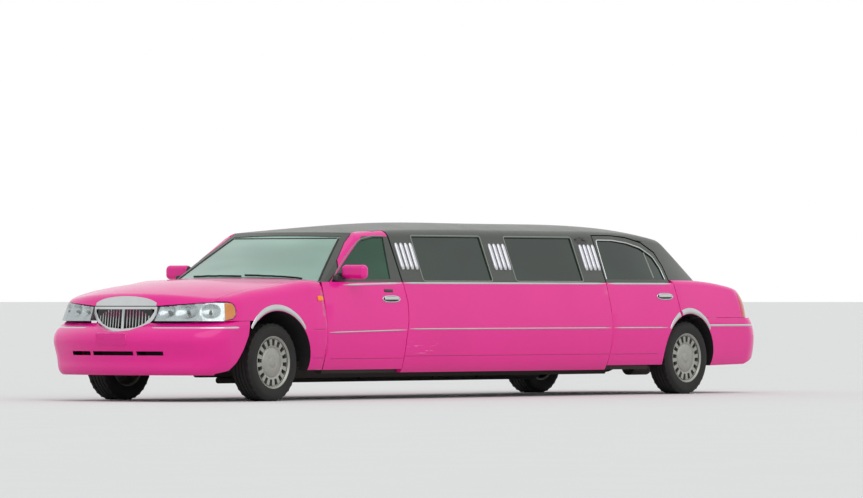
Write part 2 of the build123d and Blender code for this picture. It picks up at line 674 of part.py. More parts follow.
rail_top = [(v, z + rail_height + seat_gap) for v, z in rail_path]
rise = (rail_top[1][1] - rail_top[2][1]) / (rail_top[2][0] - rail_top[1][0])
firewall_foot = rail_top[2][1] + rise * (rail_top[2][0] - firewall)
lower_floor = [(firewall, 1100), (firewall, firewall_foot)] + rail_top[2:-1] + [(7180, rail_top[-1][1])]
upper_floor = [(firewall + floor_thickness, 1100)] + [(v + 5, z + floor_thickness) for v, z in lower_floor[1:]]
upper_floor[1] = (firewall + floor_thickness, firewall_foot + 18)
floor_outline = lower_floor + list(reversed(upper_floor))
tunnel_half = 110.0
tunnel_top = 430.0
floor_pan = side_prism(floor_outline, -floor_half, floor_half)
floor_pan = floor_pan & (block(500, 662, -839.5, 839.5, 100, 1100) + block(662, 5400, -floor_half, floor_half, 100, 1100)
                         + block(5400, 6650, -559.7, 559.7, 100, 1100) + (block(6650, 7200, -770, 770, 100, 1100) & frame_space))
floor_pan = floor_pan & (Pos(0, 0, -48 - seat_gap) * front_top + block(900, 7300, -900, 900, 0, 1100))
tunnel = block(firewall, 5600, -tunnel_half - 12, tunnel_half + 12, floor_low, tunnel_top + 12)
floor_pan = floor_pan + tunnel - block(500, 5700, -tunnel_half, tunnel_half, 100, tunnel_top)
sill = block(700, 5500, -floor_half, -floor_half + 70, sill_bottom, floor_low + 5)
for piece in both_sides(sill):
    floor_pan = floor_pan + piece
for relief in both_sides(rear_relief) + both_sides(wheel_rear & block(5400, 6700, -900, -600, 0, 1000)):
    floor_pan = floor_pan - relief
for post in both_sides(hinge_post(front_hinge)) + both_sides(hinge_post(rear_hinge)):
    floor_pan = floor_pan + post

liner_wall = 10.0


def liner(axle, radius, y_inner, y_outer):
    """Half tube over a wheel, with its mirror image."""
    whole = Cylinder(radius + liner_wall, y_outer - y_inner) - Cylinder(radius + seat_gap, y_outer - y_inner)
    whole = Pos(axle, -(y_outer + y_inner) / 2, tyre_radius) * Rot(90, 0, 0) * whole
    whole = whole & Pos(axle, 0, tyre_radius + 500 + 30) * Box(1200, 2400, 1000)
    return both_sides(whole & bumper_void & front_void)


liners = liner(front_axle, front_arch, rail_outer + seat_gap, 860)
liners += liner(rear_axle, rear_arch, 560, 860)

arm_thickness = 28.0
arm_low = rail_front_low - cross_depth - seat_gap - arm_thickness
knuckle_low = rail_front_low - cross_depth
knuckle_high = rail_front_low + rail_height
arm_plan = [(-20, -420), (120, -420), (120, -480), (30, -680), (30, -kingpin_half - 26), (-30, -kingpin_half - 26), (-30, -680)]
arm_plan += [(-20, -560)]
upper_plan = [(-150, -410), (150, -410), (150, -470), (28, -680), (28, -kingpin_half - 26), (-28, -kingpin_half - 26)]
upper_plan += [(-28, -680), (-150, -470)]
lower_arm = plan_prism(arm_plan, arm_low, arm_low + arm_thickness)
upper_arm = plan_prism(upper_plan, knuckle_high + seat_gap, knuckle_high + seat_gap + 22)
front_arms = both_sides(lower_arm) + both_sides(upper_arm)

front_wheel_y = front_track / 2
rear_wheel_y = rear_track / 2
post = Pos(front_axle, -kingpin_half, (knuckle_low + knuckle_high) / 2) * Cylinder(27, knuckle_high - knuckle_low)
stub_end = front_wheel_y + 52
stub = Pos(front_axle, -(kingpin_half + stub_end) / 2, tyre_radius) * Rot(90, 0, 0) * Cylinder(stub_radius, stub_end - kingpin_half)
steer_arm = plan_prism([(-20, -kingpin_half + 20), (-20, -kingpin_half - 20), (150, -625), (150, -595)], 292, 312)
knuckle_left = post + stub + steer_arm

axle_tube = Rot(90, 0, 0) * Cylinder(45, 2 * (rear_wheel_y - 112))
axle_stub = Rot(90, 0, 0) * Cylinder(stub_radius, 2 * (rear_wheel_y + 52))
final_drive = Sphere(135) & Box(240, 270, 270)
shaft_front = 562.0
shaft_length = wheelbase - shaft_front
shaft = Pos(-shaft_length / 2, 0, 0) * Rot(0, 90, 0) * Cylinder(36, shaft_length)
rear_axle_solid = Pos(rear_axle, 0, tyre_radius) * (axle_tube + axle_stub + final_drive + shaft)
spring_low = tyre_radius + 30
spring = Pos(rear_axle, -(rail_inner + rail_outer) / 2, (spring_low + rail_rear_low - seat_gap) / 2)
spring = spring * Cylinder(44, rail_rear_low - seat_gap - spring_low)
for piece in both_sides(spring):
    rear_axle_solid = rear_axle_solid + piece
engine = block(-330, firewall - seat_gap, -300, 300, rail_front_low + seat_gap, 640)
engine = engine + block(-330, 430, -300, 300, 600, 880)

pipe_radius = 28.0
pipe_y = 270.0
pipe_low = 164.0
pipe_points = [(700, pipe_low), (5330, pipe_low), (5640, 432), (6440, 432), (6700, 232), (7260, 232)]
path = FilletPolyline([(at(v), pipe_y, z) for v, z in pipe_points], radius=110)
exhaust = sweep(Plane(origin=path @ 0, z_dir=path % 0) * Circle(pipe_radius), path=path)
# front end, rear end, height and radius of each silencer
for v_low, v_high, z, radius in ((2640, 2950, 188, 50), (3720, 4190, 188, 50), (4380, 4780, 188, 50), (6780, 7060, 232, 72)):
    muffler = Pos(at((v_low + v_high) / 2), pipe_y, z) * Rot(0, 90, 0) * Cylinder(radius, v_high - v_low)
    exhaust = exhaust + muffler
hanger_top = rail_low + 20 - seat_gap
for v in (1500, 3300, 4200, 5100):
    exhaust = exhaust + block(v + 10, v + 50, pipe_y - 12, pipe_y + 12, pipe_low + 10, hanger_top)

# Cabin fittings
dash_front = firewall + floor_thickness + seat_gap
dash_profile = [(dash_front, 930), (dash_front, 650), (800, 610), (1080, 650), (1140, 760), (1115, 890), (1010, 955)]
dashboard = side_prism(dash_profile, -790, 790)
column_tilt = 25.0
wheel_centre = (1330.0, -380.0, 900.0)
column_length = 250.0
hub_low = -22.0
hub_depth = 28.0
steer_plane = Pos(at(wheel_centre[0]), wheel_centre[1], wheel_centre[2]) * Rot(0, 90 - column_tilt, 0)
dashboard = dashboard + steer_plane * Pos(0, 0, hub_low - seat_gap - column_length / 2) * Cylinder(32, column_length)
steering_wheel = steer_plane * Torus(185, 14) + steer_plane * Pos(0, 0, hub_low + hub_depth / 2) * Cylinder(58, hub_depth)
for turn in (20, 160, 200, 340):
    spoke = Rot(0, 0, turn) * Pos(115, 0, -6) * Box(140, 30, 12)
    steering_wheel = steering_wheel + steer_plane * spoke

floor_top = floor_low + floor_thickness + seat_gap
seat_profile = [(1350, floor_top), (1335, 490), (1390, 545), (1760, 520), (1880, 1080), (1985, 1090), (1890, 520), (1880, floor_top)]
headrest_profile = [(1900, 1085), (1895, 1240), (1960, 1255), (1990, 1230), (1985, 1085)]
seat = side_prism(seat_profile, -650, -130) + side_prism(headrest_profile, -510, -270)
front_seats = both_sides(seat)
tunnel_clear = block(2000, 5700, -tunnel_half - 12 - seat_gap, tunnel_half + 12 + seat_gap, 200, tunnel_top + 12 + seat_gap)
partition_low = block(2040, 2075, -floor_half + seat_gap, floor_half - seat_gap, floor_top, belt_height)
partition_high = cabin_form(roof_wall + seat_gap) & block(2040, 2075, -1000, 1000, belt_height, 1600)
partition = partition_low + partition_high - block(2000, 2100, -560, 560, 1040, 1370) - tunnel_clear
rear_seat_profile = [(5330, floor_top), (5320, 640), (5390, 690), (5790, 665), (5935, 1060), (6050, 1065), (5960, 700)]
rear_seat_profile += [(5950, rear_floor + floor_thickness + seat_gap), (5645, rear_floor + floor_thickness + seat_gap)]
rear_seat_profile += [(5385, floor_top)]
side_seat_profile = [(-868, floor_top), (-868, 1000), (-800, 1010), (-745, 650), (-340, 665), (-320, 600), (-330, floor_top)]
lounge_seats = [side_prism(rear_seat_profile, -545, 545) - tunnel_clear, front_prism(side_seat_profile, 2400, 4700)]
bar_cabinet = block(2500, 4500, 560, floor_half - seat_gap - 2, floor_top, 900)
bar_cabinet = bar_cabinet - block(2560, 3480, 540, 820, 600, 850) - block(3520, 4440, 540, 820, 600, 850)
rear_bulkhead = block(6060, 6330 - seat_gap, -700, 700, 980, 1004) + block(6060, 6072, -550, 550, rear_floor + floor_thickness + seat_gap, 990)

# Door mirrors
mirror_shell = fillet((Pos(at(1030), -982, 1104) * Box(92, 256, 124)).edges(), 40)
mirror_foot = front_prism([(-835, 1050), (-810, 1094), (-930, 1094), (-930, 1050)], 1003, 1048)
mirror_left = (mirror_shell + mirror_foot) - cabin_form(-seat_gap)


# Wheels
def wheel_pieces(axle, side, centre_y):
    """Tyre and rim of one wheel; side is -1 on the driver's side."""
    half = tyre_width / 2
    tyre_profile = [(bead_radius, -94), (226, -96), (245, -half + 4), (285, -half), (316, -half + 10), (tyre_radius, -86),
                    (tyre_radius, 86), (316, half - 10), (285, half), (245, half - 4), (226, 96), (bead_radius, 94)]
    tyre_face = make_face(Polyline([(r, 0, z) for r, z in tyre_profile], close=True))
    tyre = revolve(tyre_face, Axis.Z, 360)
    inner = bead_radius - 1
    rim_half = rim_width / 2
    bore = stub_radius + running_fit
    rim_profile = [(inner, -rim_half + 5), (224, -rim_half), (224, -rim_half - 4), (196, -rim_half), (190, 55), (150, 70), (70, 66),
                   (68, 0), (bore, 0), (bore, 58), (0, 58), (0, 90), (118, 90), (150, 86), (200, 84), (206, 92), (224, 106),
                   (226, 102), (inner, rim_half - 5)]
    rim_face = make_face(Polyline([(r, 0, z) for r, z in rim_profile], close=True))
    rim = revolve(rim_face, Axis.Z, 360)
    windows = [Rot(0, 0, k * 360 / rim_windows) * Pos(169, 0, 80) * Box(34, 17, 60) for k in range(rim_windows)]
    rim = rim - windows
    place = Pos(axle, side * centre_y, tyre_radius) * Rot(-90 * side, 0, 0)
    return place * tyre, place * rim


nodes = {
    "hood": hood, "hood_header": hood_header, "cowl": cowl, "grille": grille, "radiator": radiator,
    "front_bumper": front_bumper, "rear_bumper": rear_bumper, "trunk_lid": trunk_lid, "rear_deck": rear_deck,
    "windscreen": windscreen, "rear_window": rear_window, "side_windows": Compound(children=panes), "roof": roof,
    "frame_rails": frame, "floor_pan": floor_pan, "engine": engine, "wheel_liners": Compound(children=liners),
    "front_arms": Compound(children=front_arms), "rear_axle": rear_axle_solid, "exhaust": exhaust,
    "dashboard": dashboard, "steering_wheel": steering_wheel, "front_seats": Compound(children=front_seats),
    "partition": partition, "lounge_seats": Compound(children=lounge_seats), "bar_cabinet": bar_cabinet,
    "rear_bulkhead": rear_bulkhead,
    "headlamps": Compound(children=both_sides(headlamp)), "tail_lamps": Compound(children=both_sides(tail_lamp)),
}
sided = {
    "fender": fender, "door_front": door_front_left, "door_rear": door_rear_left, "side_panel": side_panel,
    "quarter": quarter, "glass_front": glass_front_left, "glass_rear": glass_rear_left, "mirror": mirror_left,
    "knuckle": knuckle_left,
}
for name, solid in sided.items():
    nodes[name + "_left"], nodes[name + "_right"] = both_sides(solid)
for end, axle, centre_y in (("front", front_axle, front_wheel_y), ("rear", rear_axle, rear_wheel_y)):
    for side_name, side in (("left", -1), ("right", 1)):
        tyre, rim = wheel_pieces(axle, side, centre_y)
        nodes[f"tyre_{end}_{side_name}"] = tyre
        nodes[f"rim_{end}_{side_name}"] = rim

os.makedirs("parts", exist_ok=True)
for name, solid in nodes.items():
    export_step(solid, f"parts/{name}.step")
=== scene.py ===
"""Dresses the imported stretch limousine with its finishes, trim, lamps, wheels, cushions and a plain studio."""
import json
import math

import bmesh
import bpy
from mathutils import Matrix, Vector
from mathutils.bvhtree import BVHTree


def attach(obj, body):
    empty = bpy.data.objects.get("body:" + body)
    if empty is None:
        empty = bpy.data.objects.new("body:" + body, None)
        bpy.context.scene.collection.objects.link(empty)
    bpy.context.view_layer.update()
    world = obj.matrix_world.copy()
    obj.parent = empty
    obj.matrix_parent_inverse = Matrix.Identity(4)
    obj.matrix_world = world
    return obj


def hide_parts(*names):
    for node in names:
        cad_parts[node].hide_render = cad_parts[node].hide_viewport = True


bl_info = {
    "name": "Stretch limousine dressing",
    "version": (1, 0, 0),
    "blender": (4, 5, 0),
    "location": "View3D > Sidebar > Limousine",
    "description": "Paint, vinyl roof, chrome trim, lamps, wheels and cabin of a stretch limousine",
    "category": "Object",
}

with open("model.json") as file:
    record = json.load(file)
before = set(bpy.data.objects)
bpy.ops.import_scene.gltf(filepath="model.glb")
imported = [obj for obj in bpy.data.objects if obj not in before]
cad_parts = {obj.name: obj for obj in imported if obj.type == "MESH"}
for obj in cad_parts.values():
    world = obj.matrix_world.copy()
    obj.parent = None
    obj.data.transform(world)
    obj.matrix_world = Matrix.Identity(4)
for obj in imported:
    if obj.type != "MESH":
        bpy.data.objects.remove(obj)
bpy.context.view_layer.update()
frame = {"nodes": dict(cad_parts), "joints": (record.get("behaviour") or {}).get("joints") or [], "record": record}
record = frame["record"]
joints = {joint["name"]: joint for joint in frame["joints"]}
owners = {node: body for body, nodes in record["behaviour"]["bodies"].items() for node in nodes}
node_slots = {part["node"]: part["material_slot"] for part in record["subparts"]}
finishes = {}
SIDES = (("left", -1), ("right", 1))
MM = 0.001
UP = Vector((0, 0, 1))

# Driving places, from the frame; all but the axle's in millimetres
steer_pivot = Vector(joints["steer_left"]["pos_m"])
rear_hub = Vector(joints["roll_rear_left"]["pos_m"])
front_axle = steer_pivot.x
wheelbase = (rear_hub.x - front_axle) / MM
hub_height = steer_pivot.z / MM

# Places that rays start from, radii of the wheel arches and the camera of the photograph, in millimetres and degrees
AHEAD = -1800
BEHIND = wheelbase + 2200
BESIDE = 1500
FRONT_ARCH = 440.0
REAR_ARCH = 405.0
CAMERA_PLACE = (-50669.6, -38955.7, 870.7)
CAMERA_YAW = 52.567
CAMERA_PITCH = 0.401
LENS_MM = 298.05
SENSOR_MM = 36.0


def at(v, y, z):
    """Point from millimetres behind the front axle, across and up."""
    return Vector((front_axle + v * MM, y * MM, z * MM))


class Settings(bpy.types.PropertyGroup):
    """Colours and sizes that a user would change."""

    paint: bpy.props.FloatVectorProperty(
        name="Paint", description="Body paint", subtype="COLOR", size=3, default=(0.87, 0.007, 0.300)
    )
    # The green in the vinyl's default colour is a painted reflection of trees on the roof's sides; the covering
    # itself is black.
    vinyl: bpy.props.FloatVectorProperty(
        name="Vinyl", description="Roof covering", subtype="COLOR", size=3, default=(0.020, 0.026, 0.018)
    )
    trim_width: bpy.props.FloatProperty(
        name="Belt strip width", description="Width of the bright strip at the belt", unit="LENGTH", default=0.018
    )
    moulding_height: bpy.props.FloatProperty(
        name="Side moulding height", description="Height of the thin moulding along the sides", unit="LENGTH",
        default=0.610
    )
    bar_width: bpy.props.FloatProperty(
        name="Bar width", description="Width of the bright bars on the roof pillars", unit="LENGTH", default=0.044
    )


# Shader maths

class Signal:
    """Value in a node tree that adds its own Math nodes when it is used in an expression."""

    def __init__(self, recipe, socket):
        self.recipe = recipe
        self.socket = socket

    def math(self, operation, other, swapped=False):
        first, second = (other, self) if swapped else (self, other)
        return self.recipe.node("ShaderNodeMath", {"operation": operation}, {0: first, 1: second})["Value"]

    def __add__(self, other):
        return self.math("ADD", other)

    def __mul__(self, other):
        return self.math("MULTIPLY", other)

    __radd__ = __add__
    __rmul__ = __mul__

    def __sub__(self, other):
        return self.math("SUBTRACT", other)

    def __rsub__(self, other):
        return self.math("SUBTRACT", other, swapped=True)

    def __pow__(self, other):
        return self.math("POWER", other)

    def below(self, limit):
        return self.math("LESS_THAN", limit)

    def rise(self, low, high):
        """Smooth step from 0 at low to 1 at high."""
        values = {"Value": self, "From Min": low, "From Max": high}
        return self.recipe.node("ShaderNodeMapRange", {"interpolation_type": "SMOOTHSTEP"}, values)["Result"]


class Recipe:
    """Node tree of one material, or of the world."""

    def __init__(self, name, world=False):
        self.holder = (bpy.data.worlds if world else bpy.data.materials).new(name)
        self.holder.use_nodes = True
        self.tree = self.holder.node_tree
        self.tree.nodes.clear()
        self.output = self.tree.nodes.new("ShaderNodeOutputWorld" if world else "ShaderNodeOutputMaterial")

    def fill(self, made, values):
        """Links or sets sockets by name or number."""
        for key, value in values.items():
            if isinstance(value, Signal):
                self.tree.links.new(value.socket, made.inputs[key])
            else:
                made.inputs[key].default_value = value

    def node(self, kind, settings=None, values=None):
        """Adds a node with its settings, then its socket values or links, and gives its outputs by name."""
        made = self.tree.nodes.new(kind)
        for key, value in (settings or {}).items():
            setattr(made, key, value)
        self.fill(made, values or {})
        return {socket.name: Signal(self, socket) for socket in made.outputs if socket.enabled}

    def place(self):
        """Object coordinates in metres."""
        return self.node("ShaderNodeTexCoord")["Object"]

    def axes(self):
        """X, Y and Z in metres."""
        return self.node("ShaderNodeSeparateXYZ", None, {"Vector": self.place()}).values()

    def noise(self, scale, detail=3.0, roughness=0.5, stretch=None):
        """Noise of 0 to 1 with features of about 1/scale metres."""
        vector = self.place()
        if stretch:
            vector = self.node("ShaderNodeMapping", None, {"Vector": vector, "Scale": stretch})["Vector"]
        values = {"Vector": vector, "Scale": scale, "Detail": detail, "Roughness": roughness}
        return self.node("ShaderNodeTexNoise", None, values)["Fac"]

    def cells(self, scale):
        """Distance to the middle of the nearest of many small cells."""
        return self.node("ShaderNodeTexVoronoi", None, {"Vector": self.place(), "Scale": scale})["Distance"]

    def blend(self, factor, first, second):
        """Colour mix; its sockets share their names, so they go by number."""
        made = self.tree.nodes.new("ShaderNodeMix")
        made.data_type = "RGBA"
        colors = {6: first, 7: second}
        values = {key: (*value, 1.0) if isinstance(value, tuple) else value for key, value in colors.items()}
        self.fill(made, {0: factor, **values})
        return Signal(self, made.outputs[2])

    def bump(self, height, distance, strength=1.0):
        values = {"Height": height, "Distance": distance, "Strength": strength}
        return self.node("ShaderNodeBump", None, values)["Normal"]

    def surface(self, **values):
        """Principled surface; underscores in names stand for spaces."""
        named = {key.replace("_", " "): value for key, value in values.items()}
        return self.node("ShaderNodeBsdfPrincipled", None, named)["BSDF"]

    def finish(self, shader):
        self.fill(self.output, {"Surface": shader})
        return self.holder


# Finishes

def scaled(color, share, lift=0.0):
    """Lighter or darker colour."""
    return tuple(min(1.0, part * share + lift) for part in color)


def mottled(name, noise, first, second, roughness, share=1.0, grain=None, **extra):
    """Two tones spread by a noise, which adds to the roughness too: (least, what the noise adds).

    A grain is the noise of a bump, or None for the same noise, then the bump's depth and strength.
    """
    recipe = Recipe(name)
    spread = recipe.noise(*noise)
    if grain:
        fine, *depth = grain
        extra["Normal"] = recipe.bump(recipe.noise(*fine) if fine else spread, *depth)
    least, added = roughness
    color = recipe.blend(spread * share if share < 1.0 else spread, first, second)
    return recipe.finish(recipe.surface(Base_Color=color, Roughness=least + spread * added, **extra))


def plastic(name, color, roughness, grain_scale, grain_depth, wear=0.3):
    worn = scaled(color, 1.0 + wear, 0.004)
    return mottled(name, (6.0, 4.0, 0.6), color, worn, (roughness, 0.12), grain=((grain_scale, 3.0), grain_depth))


def body_paint(color):
    """Glossy paint with a film of dirt low down and scuffs behind the front door on the left."""
    recipe = Recipe("hot_pink_paint")
    x, y, z = recipe.axes()
    tone = recipe.blend(recipe.noise(1.7, 2.0), color, scaled(color, 0.90))
    film = recipe.noise(9.0, 6.0, 0.65) * (1.0 - z.rise(0.18, 0.36))
    tone = recipe.blend(film * 0.35, tone, (0.33, 0.12, 0.14))
    spot = at(2000, 0, 452)
    near = 1.0 - (((x - spot.x) * 3.6) ** 2.0 + ((z - spot.z) * 14.0) ** 2.0).rise(0.25, 1.1)
    scuff = recipe.noise(21.0, 4.0, 0.6, (0.35, 1.0, 3.2)).rise(0.57, 0.66) * near * y.below(-0.5)
    shader = recipe.surface(
        Base_Color=recipe.blend(scuff * 0.40, tone, (0.90, 0.42, 0.60)),
        Roughness=0.30 + recipe.noise(5.0, 4.0, 0.6) * 0.10 + film * 0.25,
        Specular_IOR_Level=0.22,
        Coat_Weight=0.55 - film * 0.45,
        Coat_Roughness=0.04,
        Normal=recipe.bump(recipe.noise(2.6, 1.0), 0.004, 0.5),
    )
    return recipe.finish(shader)


def grained_vinyl(color):
    """Grained roof covering, faded in patches and torn over the rearmost bars on the left."""
    recipe = Recipe("grained_vinyl")
    weather = recipe.noise(3.1, 5.0, 0.62)
    streak = recipe.noise(5.0, 4.0, 0.6, (0.5, 4.0, 1.0))
    tone = recipe.blend(weather * 0.5 + streak * 0.3, color, scaled(color, 2.0, 0.006))
    x, y, z = recipe.axes()
    spot = at(4600, 0, 1392)
    away = (((x - spot.x) * 9.0) ** 2.0 + ((z - spot.z) * 26.0) ** 2.0) ** 0.5
    torn = (1.0 - (away + (recipe.noise(34.0, 4.0) - 0.5) * 1.1).rise(0.75, 1.0)) * y.below(-0.5)
    shader = recipe.surface(
        Base_Color=recipe.blend(torn, tone, (0.004, 0.004, 0.004)),
        Roughness=0.27 + weather * 0.16,
        Specular_IOR_Level=0.70,
        Normal=recipe.bump(recipe.cells(420.0) + recipe.noise(38.0, 2.0) * 1.5 - torn * 6.0, 0.0005, 0.55),
    )
    return recipe.finish(shader)


def glazing(name, tint, cover, rim_cover, film_scale, haze):
    """Thin glass: see-through with a tint, more mirror-like at a glancing view."""
    recipe = Recipe(name)
    smear = recipe.noise(film_scale, 5.0, 0.65)
    facing = recipe.node("ShaderNodeLayerWeight", None, {"Blend": 0.35})["Facing"]
    clear = recipe.node("ShaderNodeBsdfTransparent", None, {"Color": (*tint, 1.0)})["BSDF"]
    streak = recipe.noise(film_scale * 0.5, 2.0, 0.4, (1.0, 0.5, 2.2)).rise(0.35, 0.75)
    gloss = recipe.surface(
        Base_Color=recipe.blend(streak, haze, scaled(haze, 1.7)), Roughness=0.02 + smear * 0.03,
        Specular_IOR_Level=0.5, Coat_Weight=0.3, Coat_Roughness=0.02
    )
    factor = cover + facing * (rim_cover - cover) + smear * 0.03
    return recipe.finish(recipe.node("ShaderNodeMixShader", None, {"Fac": factor, 1: clear, 2: gloss})["Shader"])


def chassis_paint():
    recipe = Recipe("chassis_paint")
    grime = recipe.noise(7.0, 7.0, 0.7)
    rust = recipe.noise(19.0, 6.0, 0.75).rise(0.56, 0.74)
    tone = recipe.blend(grime, (0.012, 0.012, 0.012), (0.060, 0.052, 0.042))
    shader = recipe.surface(
        Base_Color=recipe.blend(rust * 0.7, tone, (0.12, 0.045, 0.018)), Roughness=0.55 + grime * 0.35,
        Normal=recipe.bump(grime, 0.002, 0.5)
    )
    return recipe.finish(shader)


def coloured_lens(name, color):
    """Moulded coloured lens with fine upright flutes."""
    recipe = Recipe(name)
    bands = {"wave_type": "BANDS", "bands_direction": "Y"}
    wave = recipe.node("ShaderNodeTexWave", bands, {"Vector": recipe.place(), "Scale": 38.0})["Fac"]
    cloud = recipe.noise(14.0, 3.0)
    shader = recipe.surface(
        Base_Color=recipe.blend(cloud * 0.6 + wave * 0.4, color, scaled(color, 1.3)),
        Roughness=0.10 + cloud * 0.06,
        Specular_IOR_Level=0.3,
        Coat_Weight=0.35,
        Coat_Roughness=0.03,
        Normal=recipe.bump(wave, 0.0012, 0.5),
    )
    return recipe.finish(shader)


def seat_leather():
    recipe = Recipe("seat_leather")
    wear = recipe.noise(4.0, 4.0, 0.6)
    shader = recipe.surface(
        Base_Color=recipe.blend(wear, (0.085, 0.082, 0.085), (0.15, 0.145, 0.15)),
        Roughness=0.42 + wear * 0.18,
        Specular_IOR_Level=0.45,
        Normal=recipe.bump(recipe.cells(190.0) + recipe.noise(60.0, 3.0) * 2.0, 0.0006, 0.6),
    )
    return recipe.finish(shader)


def make_finishes(settings):
    """Every finish by its short name."""
    paint = tuple(settings.paint)
    return {
        "paint": body_paint(paint),
        # painted shade: the body paint darkened for the shade along the creases
        "painted_shade_paint": plastic("paint_in_shade", scaled(paint, 0.30), 0.4, 200.0, 0.00005, 0.1),
        "patch_paint": plastic("patched_paint", scaled(paint, 0.78), 0.35, 60.0, 0.0004, 0.12),
        "vinyl": grained_vinyl(tuple(settings.vinyl)),
        "chrome": mottled(
            "polished_chrome", (7.0,), (0.62, 0.64, 0.64), (0.48, 0.50, 0.50), (0.06, 0.12), Metallic=1.0
        ),
        "bar_silver": mottled(
            "bright_bars", (26.0, 5.0, 0.7), (0.70, 0.70, 0.74), (0.52, 0.52, 0.56), (0.22, 0.14), Metallic=0.75
        ),
        "side_glass": glazing("tinted_side_glass", (0.10, 0.15, 0.13), 0.74, 0.94, 3.0, (0.006, 0.020, 0.012)),
        "screen_glass": glazing("windscreen_glass", (0.55, 0.66, 0.62), 0.60, 0.80, 2.4, (0.34, 0.52, 0.44)),
        "door_glass": glazing("front_door_glass", (0.26, 0.40, 0.34), 0.55, 0.85, 3.0, (0.014, 0.092, 0.050)),
        "lens": glazing("clear_lens", (0.90, 0.93, 0.95), 0.10, 0.40, 14.0, (0.35, 0.37, 0.36)),
        "black_plastic": plastic("black_plastic", (0.012, 0.012, 0.012), 0.45, 600.0, 0.0002),
        "cabin_plastic": plastic("cabin_plastic", (0.055, 0.052, 0.055), 0.5, 500.0, 0.0003),
        "seal": plastic("rubber_seal", (0.010, 0.010, 0.010), 0.6, 300.0, 0.0001),
        "pale_trim": plastic("pale_trim", (0.20, 0.22, 0.19), 0.3, 200.0, 0.00005),
        "chassis": chassis_paint(),
        "engine": mottled(
            "engine_casting", (11.0, 7.0, 0.7), (0.12, 0.12, 0.12), (0.035, 0.030, 0.026), (0.5, 0.3),
            grain=((260.0,), 0.0008), Metallic=0.6
        ),
        "rubber": mottled(
            "tyre_rubber", (16.0, 6.0, 0.7), (0.004, 0.004, 0.004), (0.012, 0.011, 0.009), (0.62, 0.25),
            grain=((320.0, 2.0), 0.0004)
        ),
        "wheel": mottled(
            "wheel_silver", (24.0, 6.0, 0.7), (0.42, 0.43, 0.40), (0.22, 0.21, 0.17), (0.26, 0.3),
            share=0.7, grain=((500.0,), 0.0001), Metallic=0.75
        ),
        "reflector": mottled(
            "lamp_reflector", (60.0, 2.0, 0.5, (1.0, 1.0, 0.2)), (0.74, 0.77, 0.76), (0.46, 0.49, 0.48),
            (0.12, 0.1), grain=(None, 0.003, 0.6), Metallic=0.95
        ),
        "red_lens": coloured_lens("red_lens", (0.50, 0.004, 0.006)),
        "amber_lens": coloured_lens("amber_lens", (1.0, 0.26, 0.008)),
        "leather": seat_leather(),
        "wood": mottled(
            "cabinet_wood", (9.0, 6.0, 0.62, (1.0, 9.0, 9.0)), (0.10, 0.040, 0.016), (0.24, 0.11, 0.045),
            (0.25, 0.1), grain=(None, 0.0003), Coat_Weight=0.6, Coat_Roughness=0.05
        ),
        "mirror": mottled(
            "mirror_glass", (24.0, 4.0, 0.6), (0.72, 0.76, 0.78), (0.62, 0.66, 0.68), (0.02, 0.04), Metallic=1.0
        ),
    }


# Pieces and searches


def add_piece(name, mesh_data, finish, body="body", replaces=(), crease=35.0, others=(), slot=None):
    """Makes an object of a bmesh, which rides on a body and takes the finish of that name.

    Other finishes go to the faces with material index 1 and on. A piece with a slot of its own keeps its normals.
    """
    if not slot:
        bmesh.ops.recalc_face_normals(mesh_data, faces=mesh_data.faces)
    mesh = bpy.data.meshes.new(name)
    mesh_data.to_mesh(mesh)
    mesh_data.free()
    for used in (finish, *others):
        mesh.materials.append(finishes[used])
    mesh.shade_smooth()
    mesh.set_sharp_from_angle(angle=math.radians(crease))
    piece = bpy.data.objects.new(name, mesh)
    bpy.context.scene.collection.objects.link(piece)
    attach(piece, body)
    if replaces:
        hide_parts(*replaces)
    return piece


def node_copy(*nodes):
    """Merged copy of the meshes of CAD nodes."""
    copy = bmesh.new()
    for node in nodes:
        copy.from_mesh(frame["nodes"][node].data)
    bmesh.ops.remove_doubles(copy, verts=copy.verts, dist=1e-5)
    return copy


def search_tree(*nodes):
    """Tree for finding points on CAD nodes."""
    copy = node_copy(*nodes)
    tree = BVHTree.FromBMesh(copy)
    copy.free()
    return tree


def cast(tree, start, direction):
    """First point that a ray meets, or None, and the normal there, turned to face the ray."""
    point, normal, index, distance = tree.ray_cast(start, direction)
    if point is not None and normal.dot(direction) >= 0:
        normal = -normal
    return point, normal


def side_hit(tree, v, z, side):
    return cast(tree, at(v, side * BESIDE, z), Vector((0, -side, 0)))


def front_hit(tree, y, z, direction=1):
    """What a ray meets on the nose, or on the tail with direction -1."""
    return cast(tree, at(AHEAD if direction > 0 else BEHIND, y, z), Vector((direction, 0, 0)))


def turned_hit(tree, hub, degrees, side):
    """What a ray towards an upright line through a hub meets, and the way back out; 0 degrees is forward."""
    angle = math.radians(degrees)
    outward = Vector((-math.cos(angle), side * math.sin(angle), 0))
    start_away = 1.6
    return *cast(tree, hub + outward * start_away, -outward), outward


def side_point(tree, v, z, side):
    """Point and outward normal on a side of the car, which has to be there."""
    point, normal = side_hit(tree, v, z, side)
    if point is None:
        raise RuntimeError(f"no side surface at {v:.0f}, {z:.0f}")
    return point, normal


def screen_foot(tree, y):
    """Lowest height at which the windscreen is met from the front."""
    height, highest, step = 940.0, 1300, 3.0
    while front_hit(tree, y, height)[0] is None:
        height += step
        if height > highest:
            raise RuntimeError(f"no windscreen at {y:.0f}")
    return height


def surface_frame(tree, v, z, side):
    """Local frame at a side point: along the car, up the surface and outward."""
    point, outward = side_point(tree, v, z, side)
    up = (UP - outward * outward.z).normalized()
    along = up.cross(outward)
    return Matrix.Translation(point) @ Matrix((along, up, outward)).transposed().to_4x4()


# Outlines and meshes

